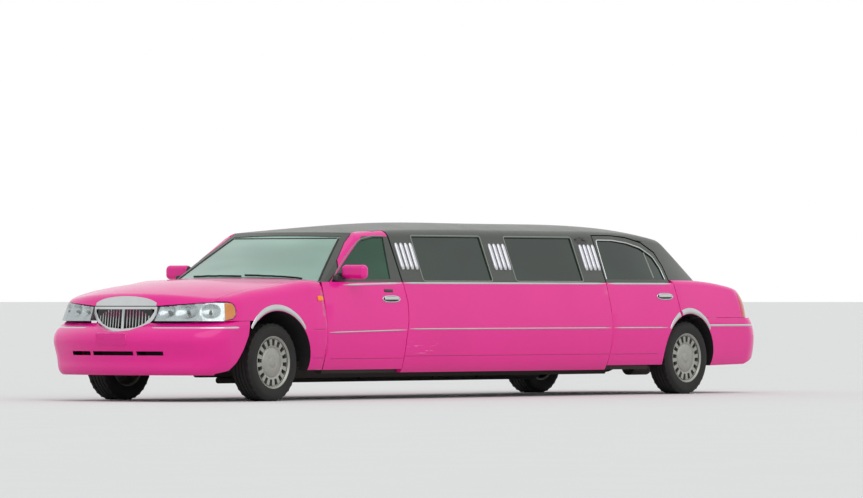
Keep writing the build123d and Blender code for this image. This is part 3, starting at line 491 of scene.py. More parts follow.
def rounded(points, radius, steps=6, closed=False):
    """Outline with its corners rounded."""
    result = []
    count = len(points)
    for index, corner in enumerate(points):
        if not closed and index in (0, count - 1):
            result.append(tuple(corner))
            continue
        here = Vector(corner)
        before = Vector(points[index - 1]) - here
        after = Vector(points[(index + 1) % count]) - here
        reach = min(radius, before.length * 0.5, after.length * 0.5)
        start = here + before.normalized() * reach
        end = here + after.normalized() * reach
        for step in range(steps + 1):
            t = step / steps
            result.append(tuple(start * (1 - t) ** 2 + here * 2 * t * (1 - t) + end * t * t))
    return result


def divided(points, spacing, closed=False):
    """Outline with extra points so that no step is longer than the spacing."""
    result = []
    ends = points[1:] + points[:1] if closed else points[1:]
    for start, end in zip(points, ends):
        start, end = Vector(start), Vector(end)
        steps = max(1, math.ceil((end - start).length / spacing))
        result += [tuple(start.lerp(end, step / steps)) for step in range(steps)]
    if not closed:
        result.append(tuple(points[-1]))
    return result


def half_round(width, height, steps=6, sunk=0.002):
    """Profile of (outward, across) in metres: a half round on a short foot."""
    half = width / 2
    arc = [(height * math.sin(math.pi * k / steps), half * math.cos(math.pi * k / steps)) for k in range(steps + 1)]
    return [(-sunk, half)] + arc + [(-sunk, -half)]


def tapered_sizes(count, ends=3, smallest=0.25):
    """Sizes of 1 with both ends tapered."""
    sizes = [1.0] * count
    for step in range(ends):
        size = smallest + (1 - smallest) * math.sin(math.pi / 2 * step / ends)
        sizes[step] = sizes[count - 1 - step] = size
    return sizes


def of_kind(items, kind):
    return [item for item in items if isinstance(item, kind)]


def sweep(path, profile, closed=False, sizes=None, into=None):
    """Carries a profile along stations of (point, outward normal); sizes scale it at each station."""
    mesh_data = into or bmesh.new()
    count = len(path)
    matrices = []
    for index, (point, normal) in enumerate(path):
        before = path[index - 1][0] if closed or index > 0 else point
        after = path[(index + 1) % count][0] if closed or index < count - 1 else point
        along = (after - before).normalized()
        outward = (normal - along * normal.dot(along)).normalized()
        across = along.cross(outward)
        size = sizes[index] if sizes else 1.0
        turn = Matrix((outward * size, across * size, along)).transposed().to_4x4()
        matrices.append(Matrix.Translation(point) @ turn)
    if closed:
        matrices.append(matrices[0])
    corners = [mesh_data.verts.new(matrices[0] @ Vector((out, side, 0))) for out, side in profile]
    start_face = mesh_data.faces.new(corners)
    face = start_face
    for before, after in zip(matrices, matrices[1:]):
        made = bmesh.ops.extrude_face_region(mesh_data, geom=[face])["geom"]
        if face is not start_face and face.is_valid:
            bmesh.ops.delete(mesh_data, geom=[face], context="FACES_ONLY")
        face = next(item for item in of_kind(made, bmesh.types.BMFace) if item.is_valid)
        moved = of_kind(made, bmesh.types.BMVert)
        bmesh.ops.transform(mesh_data, matrix=after @ before.inverted(), verts=moved)
    if closed:
        caps = [item for item in (face, start_face) if item.is_valid]
        bmesh.ops.delete(mesh_data, geom=caps, context="FACES_ONLY")
        bmesh.ops.remove_doubles(mesh_data, verts=mesh_data.verts, dist=1e-6)
    return mesh_data


def side_strip(tree, outline, side, profile, closed=False, sizes=None, into=None):
    """Strip that follows an outline of (v, z) on a side of the car."""
    return sweep([side_point(tree, v, z, side) for v, z in outline], profile, closed, sizes, into)


def lathe(profile, centre, axis, steps, into=None):
    """Turns a profile of (radius, along) about a level axis."""
    mesh_data = into or bmesh.new()
    corners = [mesh_data.verts.new(centre + UP * radius + axis * along) for radius, along in profile]
    edges = [mesh_data.edges.new(pair) for pair in zip(corners, corners[1:])]
    bmesh.ops.spin(
        mesh_data, geom=corners + edges, cent=centre, axis=axis, angle=2 * math.pi, steps=steps, use_merge=True
    )
    bmesh.ops.remove_doubles(mesh_data, verts=mesh_data.verts, dist=1e-6)
    return mesh_data


def placed_box(place, middle, size, rounding, segments=3, into=None):
    """Box with rounded edges about a middle point in a local frame."""
    mesh_data = into or bmesh.new()
    matrix = place @ Matrix.Translation(Vector(middle)) @ Matrix.Diagonal((*size, 1.0))
    made = bmesh.ops.create_cube(mesh_data, size=1.0, matrix=matrix)["verts"]
    edges = list({edge for vert in made for edge in vert.link_edges})
    bmesh.ops.bevel(
        mesh_data, geom=edges, offset=rounding, segments=segments, profile=0.5, affect="EDGES", material=-1
    )
    return mesh_data


def crowned_pad(low, high, seams, lean):
    """Stuffed pad between two corners: crowned, thin at its edges and drawn in along sewn channels."""
    pad = bmesh.new()
    bmesh.ops.create_cube(pad, size=2.0)
    bmesh.ops.subdivide_edges(pad, edges=pad.edges[:], cuts=15, use_grid_fill=True)
    middle, half = (low + high) / 2, (high - low) / 2
    thin = min(range(3), key=lambda axis: half[axis])
    wide = [axis for axis in range(3) if axis != thin]
    power = 5.0
    edge_share = 0.86
    channel_depth = 0.10
    channel_width = 0.06
    for vert in pad.verts:
        size = sum(abs(part) ** power for part in vert.co) ** (1 / power)
        vert.co /= size
        first, second = (vert.co[axis] for axis in wide)
        fullness = edge_share + (1 - edge_share) * (1 - first ** 2) * (1 - second ** 2)
        for seam in range(1, seams + 1):
            place = -1 + 2 * seam / (seams + 1)
            fullness -= channel_depth * math.exp(-((second - place) / channel_width) ** 2)
        vert.co[thin] *= fullness
    turn = Matrix.Rotation(math.radians(lean), 4, "Y")
    matrix = Matrix.Translation(middle) @ turn @ Matrix.Diagonal((*half, 1.0))
    bmesh.ops.transform(pad, matrix=matrix, verts=pad.verts)
    return pad


def ray_sheet(tree, hub, heights, angles, columns, rows, side, depth):
    """Sheet set back by a depth from the points met by rays that turn about an upright line through a hub."""
    sheet = bmesh.new()
    bmesh.ops.create_grid(sheet, x_segments=columns, y_segments=rows, size=1.0)
    missed = []
    for vert in sheet.verts:
        degrees = angles[0] + (angles[1] - angles[0]) * (vert.co.x + 1) / 2
        height = heights[0] + (heights[1] - heights[0]) * (vert.co.y + 1) / 2
        point, normal, outward = turned_hit(tree, Vector((hub.x, hub.y, height * MM)), degrees, side)
        if point is None:
            missed.append(vert)
        else:
            vert.co = point - outward * depth(degrees, height)
    bmesh.ops.delete(sheet, geom=missed, context="VERTS")
    return sheet


def side_plate(tree, outline, side, lift, thickness):
    """Thin plate of an outline of (v, z) laid on a side of the car."""
    plate = bmesh.new()
    placed = [side_point(tree, v, z, side) for v, z in outline]
    face = plate.faces.new([plate.verts.new(point + normal * lift) for point, normal in placed])
    made = bmesh.ops.extrude_face_region(plate, geom=[face])["geom"]
    bmesh.ops.translate(plate, verts=of_kind(made, bmesh.types.BMVert), vec=Vector((0, side * thickness, 0)))
    bmesh.ops.triangulate(plate, faces=[face for face in plate.faces if len(face.verts) > 4])
    return plate


# Finishes and stage

class LIMO_OT_finishes(bpy.types.Operator):
    """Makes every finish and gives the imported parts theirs"""

    bl_idname = "limo.finishes"
    bl_label = "Finishes"

    def execute(self, context):
        finishes.update(make_finishes(context.scene.limo))
        by_slot = {
            "body_paint": "paint", "vinyl_roof": "vinyl", "chrome_trim": "chrome", "tinted_glass": "side_glass",
            "clear_lens": "lens", "red_lens": "red_lens", "black_plastic": "black_plastic",
            "chassis_steel": "chassis", "engine_metal": "engine", "tyre_rubber": "rubber", "wheel_silver": "wheel",
            "cabin_plastic": "cabin_plastic", "seat_leather": "leather", "cabinet_wood": "wood",
        }
        special = {
            "windscreen": "screen_glass", "glass_front_left": "door_glass", "glass_front_right": "door_glass",
        }
        for name, slot in node_slots.items():
            materials = frame["nodes"][name].data.materials
            materials.clear()
            materials.append(finishes[special.get(name, by_slot[slot])])
        return {"FINISHED"}


def add_object(name, data):
    made = bpy.data.objects.new(name, data)
    bpy.context.scene.collection.objects.link(made)
    return made


def make_floor():
    """Pale floor out to the horizon."""
    ground = bmesh.new()
    bmesh.ops.create_circle(ground, cap_ends=True, segments=96, radius=2000.0)
    mesh = bpy.data.meshes.new("floor")
    ground.to_mesh(mesh)
    ground.free()
    recipe = Recipe("pale_floor")
    tone = recipe.blend(recipe.noise(1.3, 4.0, 0.6), (0.80, 0.80, 0.79), (0.76, 0.76, 0.75))
    mesh.materials.append(recipe.finish(recipe.surface(Base_Color=tone, Roughness=0.85)))
    add_object("floor", mesh)


def make_world(scene):
    """Soft light, and plain white where the camera, a mirror or glass looks past the floor."""
    recipe = Recipe("soft_studio", world=True)
    path = recipe.node("ShaderNodeLightPath")
    seen = path["Is Camera Ray"].math("MAXIMUM", path["Is Glossy Ray"]).math("MAXIMUM", path["Is Transmission Ray"])
    light, shown = (
        recipe.node("ShaderNodeBackground", None, {"Color": color, "Strength": strength})["Background"]
        for color, strength in (((0.96, 0.98, 1.0, 1.0), 0.70), ((1.0, 1.0, 1.0, 1.0), 1.0))
    )
    mixed = recipe.node("ShaderNodeMixShader", None, {"Fac": seen, 1: light, 2: shown})["Shader"]
    scene.world = recipe.finish(mixed)


def make_sun():
    sun = bpy.data.lights.new("soft_sun", "SUN")
    sun.energy = 0.9
    sun.angle = math.radians(55.0)
    placed = add_object("soft_sun", sun)
    placed.location = (-5.0, -9.0, 11.0)
    placed.rotation_euler = Vector((0.45, 0.75, -1.0)).to_track_quat("-Z", "Y").to_euler()


def make_camera(scene):
    data = bpy.data.cameras.new("camera")
    data.sensor_fit = "HORIZONTAL"
    data.sensor_width = SENSOR_MM
    data.lens = LENS_MM
    data.clip_end = 6000.0
    yaw, pitch = math.radians(CAMERA_YAW), math.radians(CAMERA_PITCH)
    look = Vector((math.sin(yaw) * math.cos(pitch), math.cos(yaw) * math.cos(pitch), math.sin(pitch)))
    scene.camera = add_object("camera", data)
    scene.camera.location = Vector(CAMERA_PLACE) * MM
    scene.camera.rotation_euler = look.to_track_quat("-Z", "Y").to_euler()


class LIMO_OT_stage(bpy.types.Operator):
    """Makes the floor, the soft light and the camera"""

    bl_idname = "limo.stage"
    bl_label = "Stage"

    def execute(self, context):
        context.scene.view_settings.view_transform = "Standard"
        make_floor()
        make_world(context.scene)
        make_sun()
        make_camera(context.scene)
        return {"FINISHED"}


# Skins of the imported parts

def mark_pad(skin):
    """Gives the flat front of the plate pad the third finish and the walls of the slots the second."""
    front = at(-1075, 0, 0).x
    pad_half, pad_low, pad_high = 0.161, 0.44, 0.61
    slots_half, middle_low, middle_high, corner_low, corner_high = 0.50, 0.392, 0.429, 0.391, 0.430
    for face in skin.faces:
        middle = face.calc_center_median()
        on_pad = abs(middle.y) < pad_half and pad_low < middle.z < pad_high
        if on_pad and middle.x < front and face.normal.x < -0.9:
            face.material_index = 2
        inside = abs(middle.y) < slots_half and middle_low < middle.z < middle_high and abs(face.normal.x) < 0.3
        if inside and all(corner_low < vert.co.z < corner_high for vert in face.verts):
            face.material_index = 1


def mark_arches(skin):
    """Gives the walls inside the wheel arches the second finish."""
    margin = 6
    for hub_v, inner in ((0.0, FRONT_ARCH), (wheelbase, REAR_ARCH)):
        hub = at(hub_v, 0, hub_height)
        for face in skin.faces:
            away = [math.hypot(vert.co.x - hub.x, vert.co.z - hub.z) / MM for vert in face.verts]
            if max(away) < inner + margin and abs(face.normal.y) < 0.6:
                face.material_index = 1


def mark_foot(skin):
    """Gives the foot of a mirror the second finish."""
    foot_end = 0.868
    for face in skin.faces:
        face.material_index = 1 if abs(face.calc_center_median().y) < foot_end else 0


def mark_upper_frame(skin, is_front):
    """Gives the vinyl-covered parts of a door's window frame the second finish."""
    sill = at(0, 0, 1018.4)
    head = at(0, 0, 1417)
    sail = at(1102, 0, 1178)
    sail_normal = Vector((-0.564, 0, 0.826))
    cuts = [(sill, UP)]
    if is_front:
        cuts += [(head, UP), (sail, sail_normal)]
    for place, normal in cuts:
        upper = [face for face in skin.faces if max(vert.co.z for vert in face.verts) > sill.z - 0.0005]
        geometry = {item for face in upper for item in (face, *face.edges, *face.verts)}
        bmesh.ops.bisect_plane(skin, geom=list(geometry), plane_co=place, plane_no=normal, dist=1e-6)
    for face in skin.faces:
        middle = face.calc_center_median()
        if middle.z < sill.z:
            continue
        ahead = middle.x < at(1500, 0, 0).x
        pink = is_front and (middle.z > head.z or (ahead and (middle - sail).dot(sail_normal) > 0))
        face.material_index = 0 if pink else 1


def add_skin(node, finish):
    """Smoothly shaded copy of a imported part, with its other finishes where they belong."""
    skin = node_copy(node)
    others = ()
    if node.startswith("door_"):
        mark_upper_frame(skin, node.startswith("door_front"))
        others = ("vinyl",)
    elif node.startswith("mirror_"):
        mark_foot(skin)
        others = ("black_plastic",)
    elif node.startswith(("fender_", "quarter_")) or node.endswith("_bumper"):
        mark_arches(skin)
        others = ("black_plastic",)
    if node == "front_bumper":
        mark_pad(skin)
        others += ("patch_paint",)
    piece = add_piece(f"{node}_skin", skin, finish, owners[node], (node,), 24.0, others, node_slots[node])
    piece.modifiers.new("even_shading", "WEIGHTED_NORMAL").keep_sharp = True


class LIMO_OT_panels(bpy.types.Operator):
    """Smooth skins for the painted panels, the roof and the glass"""

    bl_idname = "limo.panels"
    bl_label = "Panels"

    def execute(self, context):
        skins = {
            "paint": ["hood", "front_bumper", "rear_bumper", "trunk_lid", "rear_deck"],
            "vinyl": ["roof"],
            "chrome": ["grille", "hood_header"],
            "screen_glass": ["windscreen"],
            "side_glass": ["rear_window", "side_windows"],
            "black_plastic": ["cowl"],
            "red_lens": ["tail_lamps"],
            "door_glass": [],
        }
        for side, sign in SIDES:
            for part in ("fender", "side_panel", "door_front", "door_rear", "quarter", "mirror"):
                skins["paint"].append(f"{part}_{side}")
            skins["door_glass"].append(f"glass_front_{side}")
            skins["side_glass"].append(f"glass_rear_{side}")
        for finish, nodes in skins.items():
            for node in nodes:
                add_skin(node, finish)
        return {"FINISHED"}


# Side trim, in millimetres behind the front axle (v) and up (z)

# part of the side: start v, end v, start z, end z
BELT_SPANS = {
    "door_front": (935, 1770, 993, 1009), "body": (1794, 4792, 1010, 1010), "door_rear": (4818, 5800, 1010, 1010),
}
CREASE_SPANS = {
    "door_front": (716, 1736, 357, 357), "body": (1766, 4788, 374, 374), "door_rear": (4822, 5530, 372, 372),
}
# the same, with the heights counted from the moulding's
MOULDING_SPANS = {
    "door_front": (672, 1768, -27, -8), "body": (1800, 4788, 0, 0), "door_rear": (4834, 5668, 0, 0),
}
FENDER_CREASES = (366, 612)
# start v, end v
BAR_GROUPS = ((1834, 2076), (3191, 3431), (4549, 4783))
WINDOWS = ((2105, 3098), (3465, 4458))


def part_strips(name, spans, side, sign, panels, profile, finish, tapered=True):
    """Straight strips of one kind along the parts of a side."""
    for part, (start, end, low, high) in spans.items():
        outline = divided([(start, low), (end, high)], 120)
        sizes = tapered_sizes(len(outline), 1) if tapered else None
        strip = side_strip(panels[part], outline, sign, profile, sizes=sizes)
        add_piece(f"{name}_{part}_{side}", strip, finish, "body" if part == "body" else f"{part}_{side}_body")


def creases(side, sign, panels):
    """Thin lines of body paint darkened as painted shade, low on the sides, where the panels turn in."""
    profile = half_round(0.005, 0.0007, 4, 0.001)
    # the darker paint of these lines is painted shade
    part_strips("crease", CREASE_SPANS, side, sign, panels, profile, "painted_shade_paint", tapered=False)
    for number, height in enumerate(FENDER_CREASES, 1):
        strip = side_strip(panels["body"], divided([(470, height), (618, height)], 60), sign, profile)
        add_piece(f"crease_fender_{number}_{side}", strip, "painted_shade_paint")


def arches(side, sign):
    """Bright trims round the wheel arches, widest at the top."""
    steps, first_angle, turn = 44, 40, 101
    widest, narrowest_share, gap, innermost = 0.052, 0.36, 3, 0.85
    profile = half_round(1.0, 0.16, 8, 0.02)
    for end, centre, inner, nodes, body in (
        ("front", 0.0, FRONT_ARCH, (f"fender_{side}", "front_bumper"), "body"),
        ("rear", wheelbase, REAR_ARCH, (f"quarter_{side}", "rear_bumper"), "body"),
        ("door", wheelbase, REAR_ARCH, (f"door_rear_{side}",), f"door_rear_{side}_body"),
    ):
        tree = search_tree(*nodes)
        kept, widths, ahead = [], [], []
        for step in range(steps + 1):
            angle = math.radians(first_angle + turn * step / steps)
            width = widest * (narrowest_share + (1 - narrowest_share) * math.sin(math.pi * step / steps) ** 0.6)
            radius = inner + gap + width / MM / 2
            v, z = centre - radius * math.cos(angle), hub_height + radius * math.sin(angle)
            point, normal = side_hit(tree, v, z, sign)
            if point is not None and abs(point.y) > innermost:
                kept.append((point, normal))
                widths.append(width)
            elif not kept:
                ahead.append((at(v, 0, z), width))
        if end == "front":
            bridge_gap(kept, widths, ahead)
        add_piece(f"arch_trim_{end}_{side}", sweep(kept, profile, sizes=widths), "chrome", body)


def bridge_gap(kept, widths, ahead):
    """Carries an arch trim on ahead of its first point, in line with its first ones."""
    (first, normal), (second, other) = kept[0], kept[3]
    slope = (second.y - first.y) / (second.x - first.x)
    for place, width in reversed(ahead):
        place.y = first.y + slope * (place.x - first.x)
        kept.insert(0, (place, normal))
        widths.insert(0, width)


def window_frames(side, sign, roof):
    low, high = 1037.0, 1417.0
    margin = 11.0
    for number, (start, end) in enumerate(WINDOWS, 1):
        left, right, foot, head = start - margin, end + margin, low - margin, high + margin
        corners = [(left, foot), (right, foot), (right, head), (left, head)]
        outline = divided(rounded(corners, 30, closed=True), 90, closed=True)
        strip = side_strip(roof, outline, sign, half_round(0.010, 0.004), closed=True)
        add_piece(f"window_frame_{number}_{side}", strip, "pale_trim")


def bars(side, sign, roof, width):
    """Groups of upright bright bars between the windows."""
    bar_count = 4
    low, high = 1127.0, 1359.0
    profile = half_round(width, 0.016, 8)
    for group, (start, end) in enumerate(BAR_GROUPS, 1):
        mesh_data = bmesh.new()
        pitch = (end - start - width / MM) / (bar_count - 1)
        for count in range(bar_count):
            middle = start + width / MM / 2 + count * pitch
            outline = divided([(middle, low), (middle, high)], 10)
            side_strip(roof, outline, sign, profile, sizes=tapered_sizes(len(outline), 3, 0.55), into=mesh_data)
        add_piece(f"pillar_bars_{group}_{side}", mesh_data, "bar_silver")


class LIMO_OT_side_trim(bpy.types.Operator):
    """Belt strips, side mouldings, wheel arch trims, window frames and pillar bars"""

    bl_idname = "limo.side_trim"
    bl_label = "Side trim"

    def execute(self, context):
        settings = context.scene.limo
        height = settings.moulding_height / MM
        mouldings = {
            part: (start, end, height + drop, height + end_drop)
            for part, (start, end, drop, end_drop) in MOULDING_SPANS.items()
        }
        for side, sign in SIDES:
            fixed = (f"side_panel_{side}", f"fender_{side}", f"quarter_{side}", "front_bumper", "rear_bumper")
            panels = {part: search_tree(f"{part}_{side}") for part in ("door_front", "door_rear")}
            panels["body"] = search_tree(*fixed)
            roof = search_tree("roof")
            belt = half_round(settings.trim_width, 0.004)
            part_strips("belt_strip", BELT_SPANS, side, sign, panels, belt, "chrome")
            part_strips("side_moulding", mouldings, side, sign, panels, half_round(0.013, 0.006), "chrome")
            creases(side, sign, panels)
            arches(side, sign)
            window_frames(side, sign, roof)
            bars(side, sign, roof, settings.bar_width)
        return {"FINISHED"}


# Parts on the doors, fenders and roof

# part: v, z of the middle of its handle
HANDLES = {"door_front": (1577, 871), "door_rear": (5667, 894)}
# part: finish and width of its window's outline, then its corners (v, z)
WINDOW_OUTLINES = {
    "door_front": (
        "pale_trim", 0.008, ((880, 1030), (1098, 1192), (1279, 1316), (1420, 1393), (1585, 1421), (1726, 1421))
    ),
    "door_rear": (
        "chrome", 0.012,
        ((4830, 1050), (4838, 1250), (4846, 1405), (5100, 1404), (5322, 1382), (5524, 1339), (5687, 1258),
         (5747, 1154), (5762, 1050))
    ),
}


def handle(part, side, sign, tree, v, z):
    """Oval chrome surround with a dark recess and a lift paddle."""
    half_long, half_high, squareness, steps = 120.0, 26.68, 0.7, 28
    oval = []
    for step in range(steps):
        angle = 2 * math.pi * step / steps
        reach = half_long * math.copysign(abs(math.cos(angle)) ** squareness, math.cos(angle))
        oval.append((v + reach, z + half_high * math.sin(angle)))
    body = f"{part}_{side}_body"
    ring = side_strip(tree, oval, sign, half_round(0.012, 0.007), closed=True)
    add_piece(f"handle_ring_{part}_{side}", ring, "chrome", body)
    add_piece(f"handle_recess_{part}_{side}", side_plate(tree, oval, sign, 0.0005, 0.0015), "black_plastic", body)
    paddle = placed_box(surface_frame(tree, v, z + 6, sign), (0, 0, 0.007), (0.198, 0.030, 0.010), 0.004)
    add_piece(f"handle_paddle_{part}_{side}", paddle, "chrome", body)


def divider(side, sign):
    """Upright moulding on the glass of the rear door."""
    tree = search_tree(f"glass_rear_{side}")
    strip = side_strip(tree, divided([(5570, 1294), (5588, 1060)], 60), sign, half_round(0.020, 0.005))
    add_piece(f"quarter_divider_{side}", strip, "pale_trim", f"door_rear_{side}_body")


def repeater(side, sign):
    place = surface_frame(search_tree(f"fender_{side}"), 581, 876, sign)
    lamp = placed_box(place, (0, 0, 0.003), (0.070, 0.042, 0.012), 0.004)
    add_piece(f"repeater_{side}", lamp, "amber_lens")


def mirror(side, sign):
    """Mirror glass, and the black foot between the window corner and the mirror head."""
    body = owners[f"mirror_{side}"]
    place = Matrix.Translation(at(1076.5, sign * 984, 1104))
    glass = placed_box(place, (0, 0, 0), (0.004, 0.196, 0.084), 0.0018, 2)
    add_piece(f"mirror_glass_{side}", glass, "mirror", body)
    inner, outer = sorted((sign * 850, sign * 905))
    low, high = at(874, inner, 1004), at(1000, outer, 1068)
    place = Matrix.Translation((low + high) / 2) @ Matrix.Rotation(math.radians(14.0), 4, "Y")
    add_piece(f"mirror_foot_{side}", placed_box(place, (0, 0, 0), high - low, 0.020, 4), "black_plastic", body)


def keypad():
    """Row of five keys above the driver's door handle."""
    key_count, key_pitch = 5, 0.023
    place = surface_frame(search_tree("door_front_left"), 1556, 942, -1)
    pad = placed_box(place, (0, 0, 0.0015), (0.120, 0.025, 0.005), 0.002)
    add_piece("keypad", pad, "black_plastic", "door_front_left_body")
    keys = bmesh.new()
    for count in range(key_count):
        along = key_pitch * (count - (key_count - 1) / 2)
        placed_box(place, (along, 0, 0.0045), (0.018, 0.014, 0.002), 0.0008, 2, keys)
    add_piece("keypad_keys", keys, "cabin_plastic", "door_front_left_body")


def torn_edges():
    """Loose scraps of vinyl where the covering has torn on the left side."""
    roof = search_tree("roof")
    scraps = bmesh.new()
    torn = ((4560, 1412, 62, 16, 12.0), (4660, 1404, 48, 13, -9.0), (4612, 1425, 40, 12, 25.0))
    for v, z, long, high, turn in torn:
        place = surface_frame(roof, v, z, -1) @ Matrix.Rotation(math.radians(turn), 4, "Z")
        placed_box(place, (0, 0, 0.002), (long * MM, high * MM, 0.006), 0.0028, 2, scraps)
    add_piece("torn_vinyl_scraps", scraps, "vinyl")


class LIMO_OT_side_parts(bpy.types.Operator):
    """Door handles, keypad, repeaters, mirror glasses and the outlines of the door windows"""

    bl_idname = "limo.side_parts"
    bl_label = "Side parts"

    def execute(self, context):
        for side, sign in SIDES:
            doors = {part: search_tree(f"{part}_{side}") for part in HANDLES}
            for part, (v, z) in HANDLES.items():
                handle(part, side, sign, doors[part], v, z)
            for part, (finish, width, corners) in WINDOW_OUTLINES.items():
                path = divided(rounded(corners, 30), 60)
                strip = side_strip(doors[part], path, sign, half_round(width, 0.004))
                add_piece(f"window_outline_{part}_{side}", strip, finish, f"{part}_{side}_body")
            divider(side, sign)
            repeater(side, sign)
            mirror(side, sign)
        keypad()
        torn_edges()
        return {"FINISHED"}


# Nose and tail, where rays turn about upright lines, in millimetres behind the front axle and to each side

NOSE_HUB = -300
TAIL_HUB = 6600
HUB_SIDE = 500


def grille_backing():
    """Dark sheet a little behind the bent front of the grille's bars."""
    tree = search_tree("grille")
    fronts = {}
    for y in range(-310, 311, 4):
        for z in (660, 700, 740):
            point, normal = front_hit(tree, y, z)
            if point is not None:
                fronts.setdefault(abs(y), []).append(point.x)
    middle = min(min(found) for y, found in fronts.items() if y < 30)
    side = min(min(found) for y, found in fronts.items() if y > 270)
    half, steps, set_back, level = 0.300, 32, 0.018, 0.712
    path = []
    for step in range(steps + 1):
        y = -half + 2 * half * step / steps
        x = middle + (side - middle) * (y / 0.29) ** 2 + set_back
        path.append((Vector((x, y, level)), Vector((-1, 0, 0))))
    backing = sweep(path, [(-0.002, 0.076), (0.001, 0.076), (0.001, -0.076), (-0.002, -0.076)])
    add_piece("grille_backing", backing, "black_plastic")


def headlamp(side, sign):
    """Reflector sheet behind a clear lens, with bowls, bulbs and an amber outer section."""
    tree = search_tree("headlamps")
    hub = at(NOSE_HUB, HUB_SIDE * sign, 0)
    heights = (684.0, 844.0)
    start, stop, amber_from = -13.0, 66.0, 50.0
    rim_depth, bowl_depth, bulb_depth = 0.010, 0.034, 0.040
    # direction in degrees, height, and half sizes of each bowl in the same units
    bowls = ((-5.0, 762.0, 7.0, 56.0), (13.0, 764.0, 11.0, 66.0), (36.0, 766.0, 10.0, 62.0))

    def depth(degrees, height):
        deepest = rim_depth
        for middle, level, wide, tall in bowls:
            away = ((degrees - middle) / wide) ** 2 + ((height - level) / tall) ** 2
            deepest = max(deepest, rim_depth + bowl_depth * (1.0 - away))
        return deepest

    reflector = ray_sheet(tree, hub, heights, (start, stop), 70, 24, sign, depth)
    add_piece(f"headlamp_reflector_{side}", reflector, "reflector")
    amber = ray_sheet(tree, hub, heights, (amber_from, stop), 14, 20, sign, lambda degrees, height: 0.007)
    add_piece(f"turn_lamp_{side}", amber, "amber_lens")
    bulbs = bmesh.new()
    profile = [(0.0, 0.0), (0.012, 0.0), (0.012, 0.012), (0.009, 0.020), (0.0, 0.024)]
    for middle, level, wide, tall in bowls:
        point, normal, outward = turned_hit(tree, at(NOSE_HUB, HUB_SIDE * sign, level), middle, sign)
        lathe(profile, point - outward * bulb_depth, outward, 16, bulbs)
    add_piece(f"headlamp_bulbs_{side}", bulbs, "pale_trim")


def bumper_strip(end, hub_v, start, stop, steps, side, sign):
    """Bright strip round one side of a bumper, between two directions in degrees from forward."""
    tree = search_tree(f"{end}_bumper")
    hub = at(hub_v, HUB_SIDE * sign, 628)
    path = []
    for step in range(steps + 1):
        point, normal, outward = turned_hit(tree, hub, start + (stop - start) * step / steps, sign)
        if point is not None:
            path.append((point, normal))
    strip = sweep(path, half_round(0.020, 0.004), sizes=tapered_sizes(len(path), 2))
    add_piece(f"bumper_strip_{end}_{side}", strip, "chrome")


def wiper(side, sign):
    """Wiper blade lying along the foot of the windscreen."""
    tree = search_tree("windscreen")
    start, end = (-640, -70) if sign < 0 else (-40, 560)
    steps, above_foot, rise, lift = 12, 4, 9, 0.006
    path = []
    for step in range(steps + 1):
        t = step / steps
        y = start + (end - start) * t
        point, normal = front_hit(tree, y, screen_foot(tree, y) + above_foot + rise * t)
        path.append((point + normal * lift, normal))
    add_piece(f"wiper_blade_{side}", sweep(path, half_round(0.012, 0.008, 4, 0.006)), "seal")


def screen_edges():
    """Black band along the top of the windscreen and mouldings down its sides."""
    tree = search_tree("windscreen")
    band_half, band_height, band_steps = 570, 1398, 24
    top = [
        front_hit(tree, -band_half + 2 * band_half * step / band_steps, band_height)
        for step in range(band_steps + 1)
    ]
    add_piece("screen_top_band", sweep(top, half_round(0.022, 0.002, 4)), "seal")
    foot, foot_half, head, head_half, inset = 960, 843, 1412, 594, 16
    first, last, steps = 980, 1396, 18
    for side, sign in SIDES:
        path = []
        for step in range(steps + 1):
            z = first + (last - first) * step / steps
            half = foot_half + (head_half - foot_half) * (z - foot) / (head - foot) - inset
            hit = front_hit(tree, sign * half, z)
            if hit[0] is not None:
                path.append(hit)
        add_piece(f"screen_moulding_{side}", sweep(path, half_round(0.020, 0.005, 5)), "seal")


def tail_trim():
    """Bright lines across each tail lamp, and the lens that carries it round the corner."""
    tree = search_tree("tail_lamps")
    lamps = node_copy("tail_lamps")
    inner_margin, both_margins, steps = 12, 60, 14
    for side, sign in SIDES:
        spots = [vert.co for vert in lamps.verts if vert.co.y * sign > 0]
        near = min(abs(spot.y) for spot in spots) / MM
        far = max(abs(spot.y) for spot in spots) / MM
        low = min(spot.z for spot in spots) / MM
        high = max(spot.z for spot in spots) / MM
        rows = bmesh.new()
        for share in (0.36, 0.68):
            height = low + (high - low) * share
            run = far - near - both_margins
            across = [near + inner_margin + run * step / steps for step in range(steps + 1)]
            tries = [front_hit(tree, sign * y, height, -1) for y in across]
            path = [(point, normal) for point, normal in tries if point is not None]
            if len(path) > 2:
                sweep(path, half_round(0.006, 0.0025, 4), into=rows)
        add_piece(f"tail_lamp_bars_{side}", rows, "chrome")
        tail_corner(side, sign, max(spots, key=lambda spot: abs(spot.y)), low, high)
    lamps.free()


def tail_corner(side, sign, outer, low, high):
    """Lens that carries the tail lamp round the corner of the quarter panel."""
    tree = search_tree(f"quarter_{side}")
    hub = at(TAIL_HUB, HUB_SIDE * sign, 0)
    thickness, margin, turn = 0.0015, 8, 18
    stop = math.degrees(math.atan2((outer.y - hub.y) * sign, hub.x - outer.x)) - 0.6
    heights = (low + margin, high - margin)
    lens = ray_sheet(tree, hub, heights, (stop - turn, stop), 14, 8, sign, lambda degrees, height: -thickness)
    bmesh.ops.recalc_face_normals(lens, faces=lens.faces)
    bmesh.ops.solidify(lens, geom=lens.faces[:], thickness=thickness)
    add_piece(f"tail_lamp_corner_{side}", lens, "red_lens")


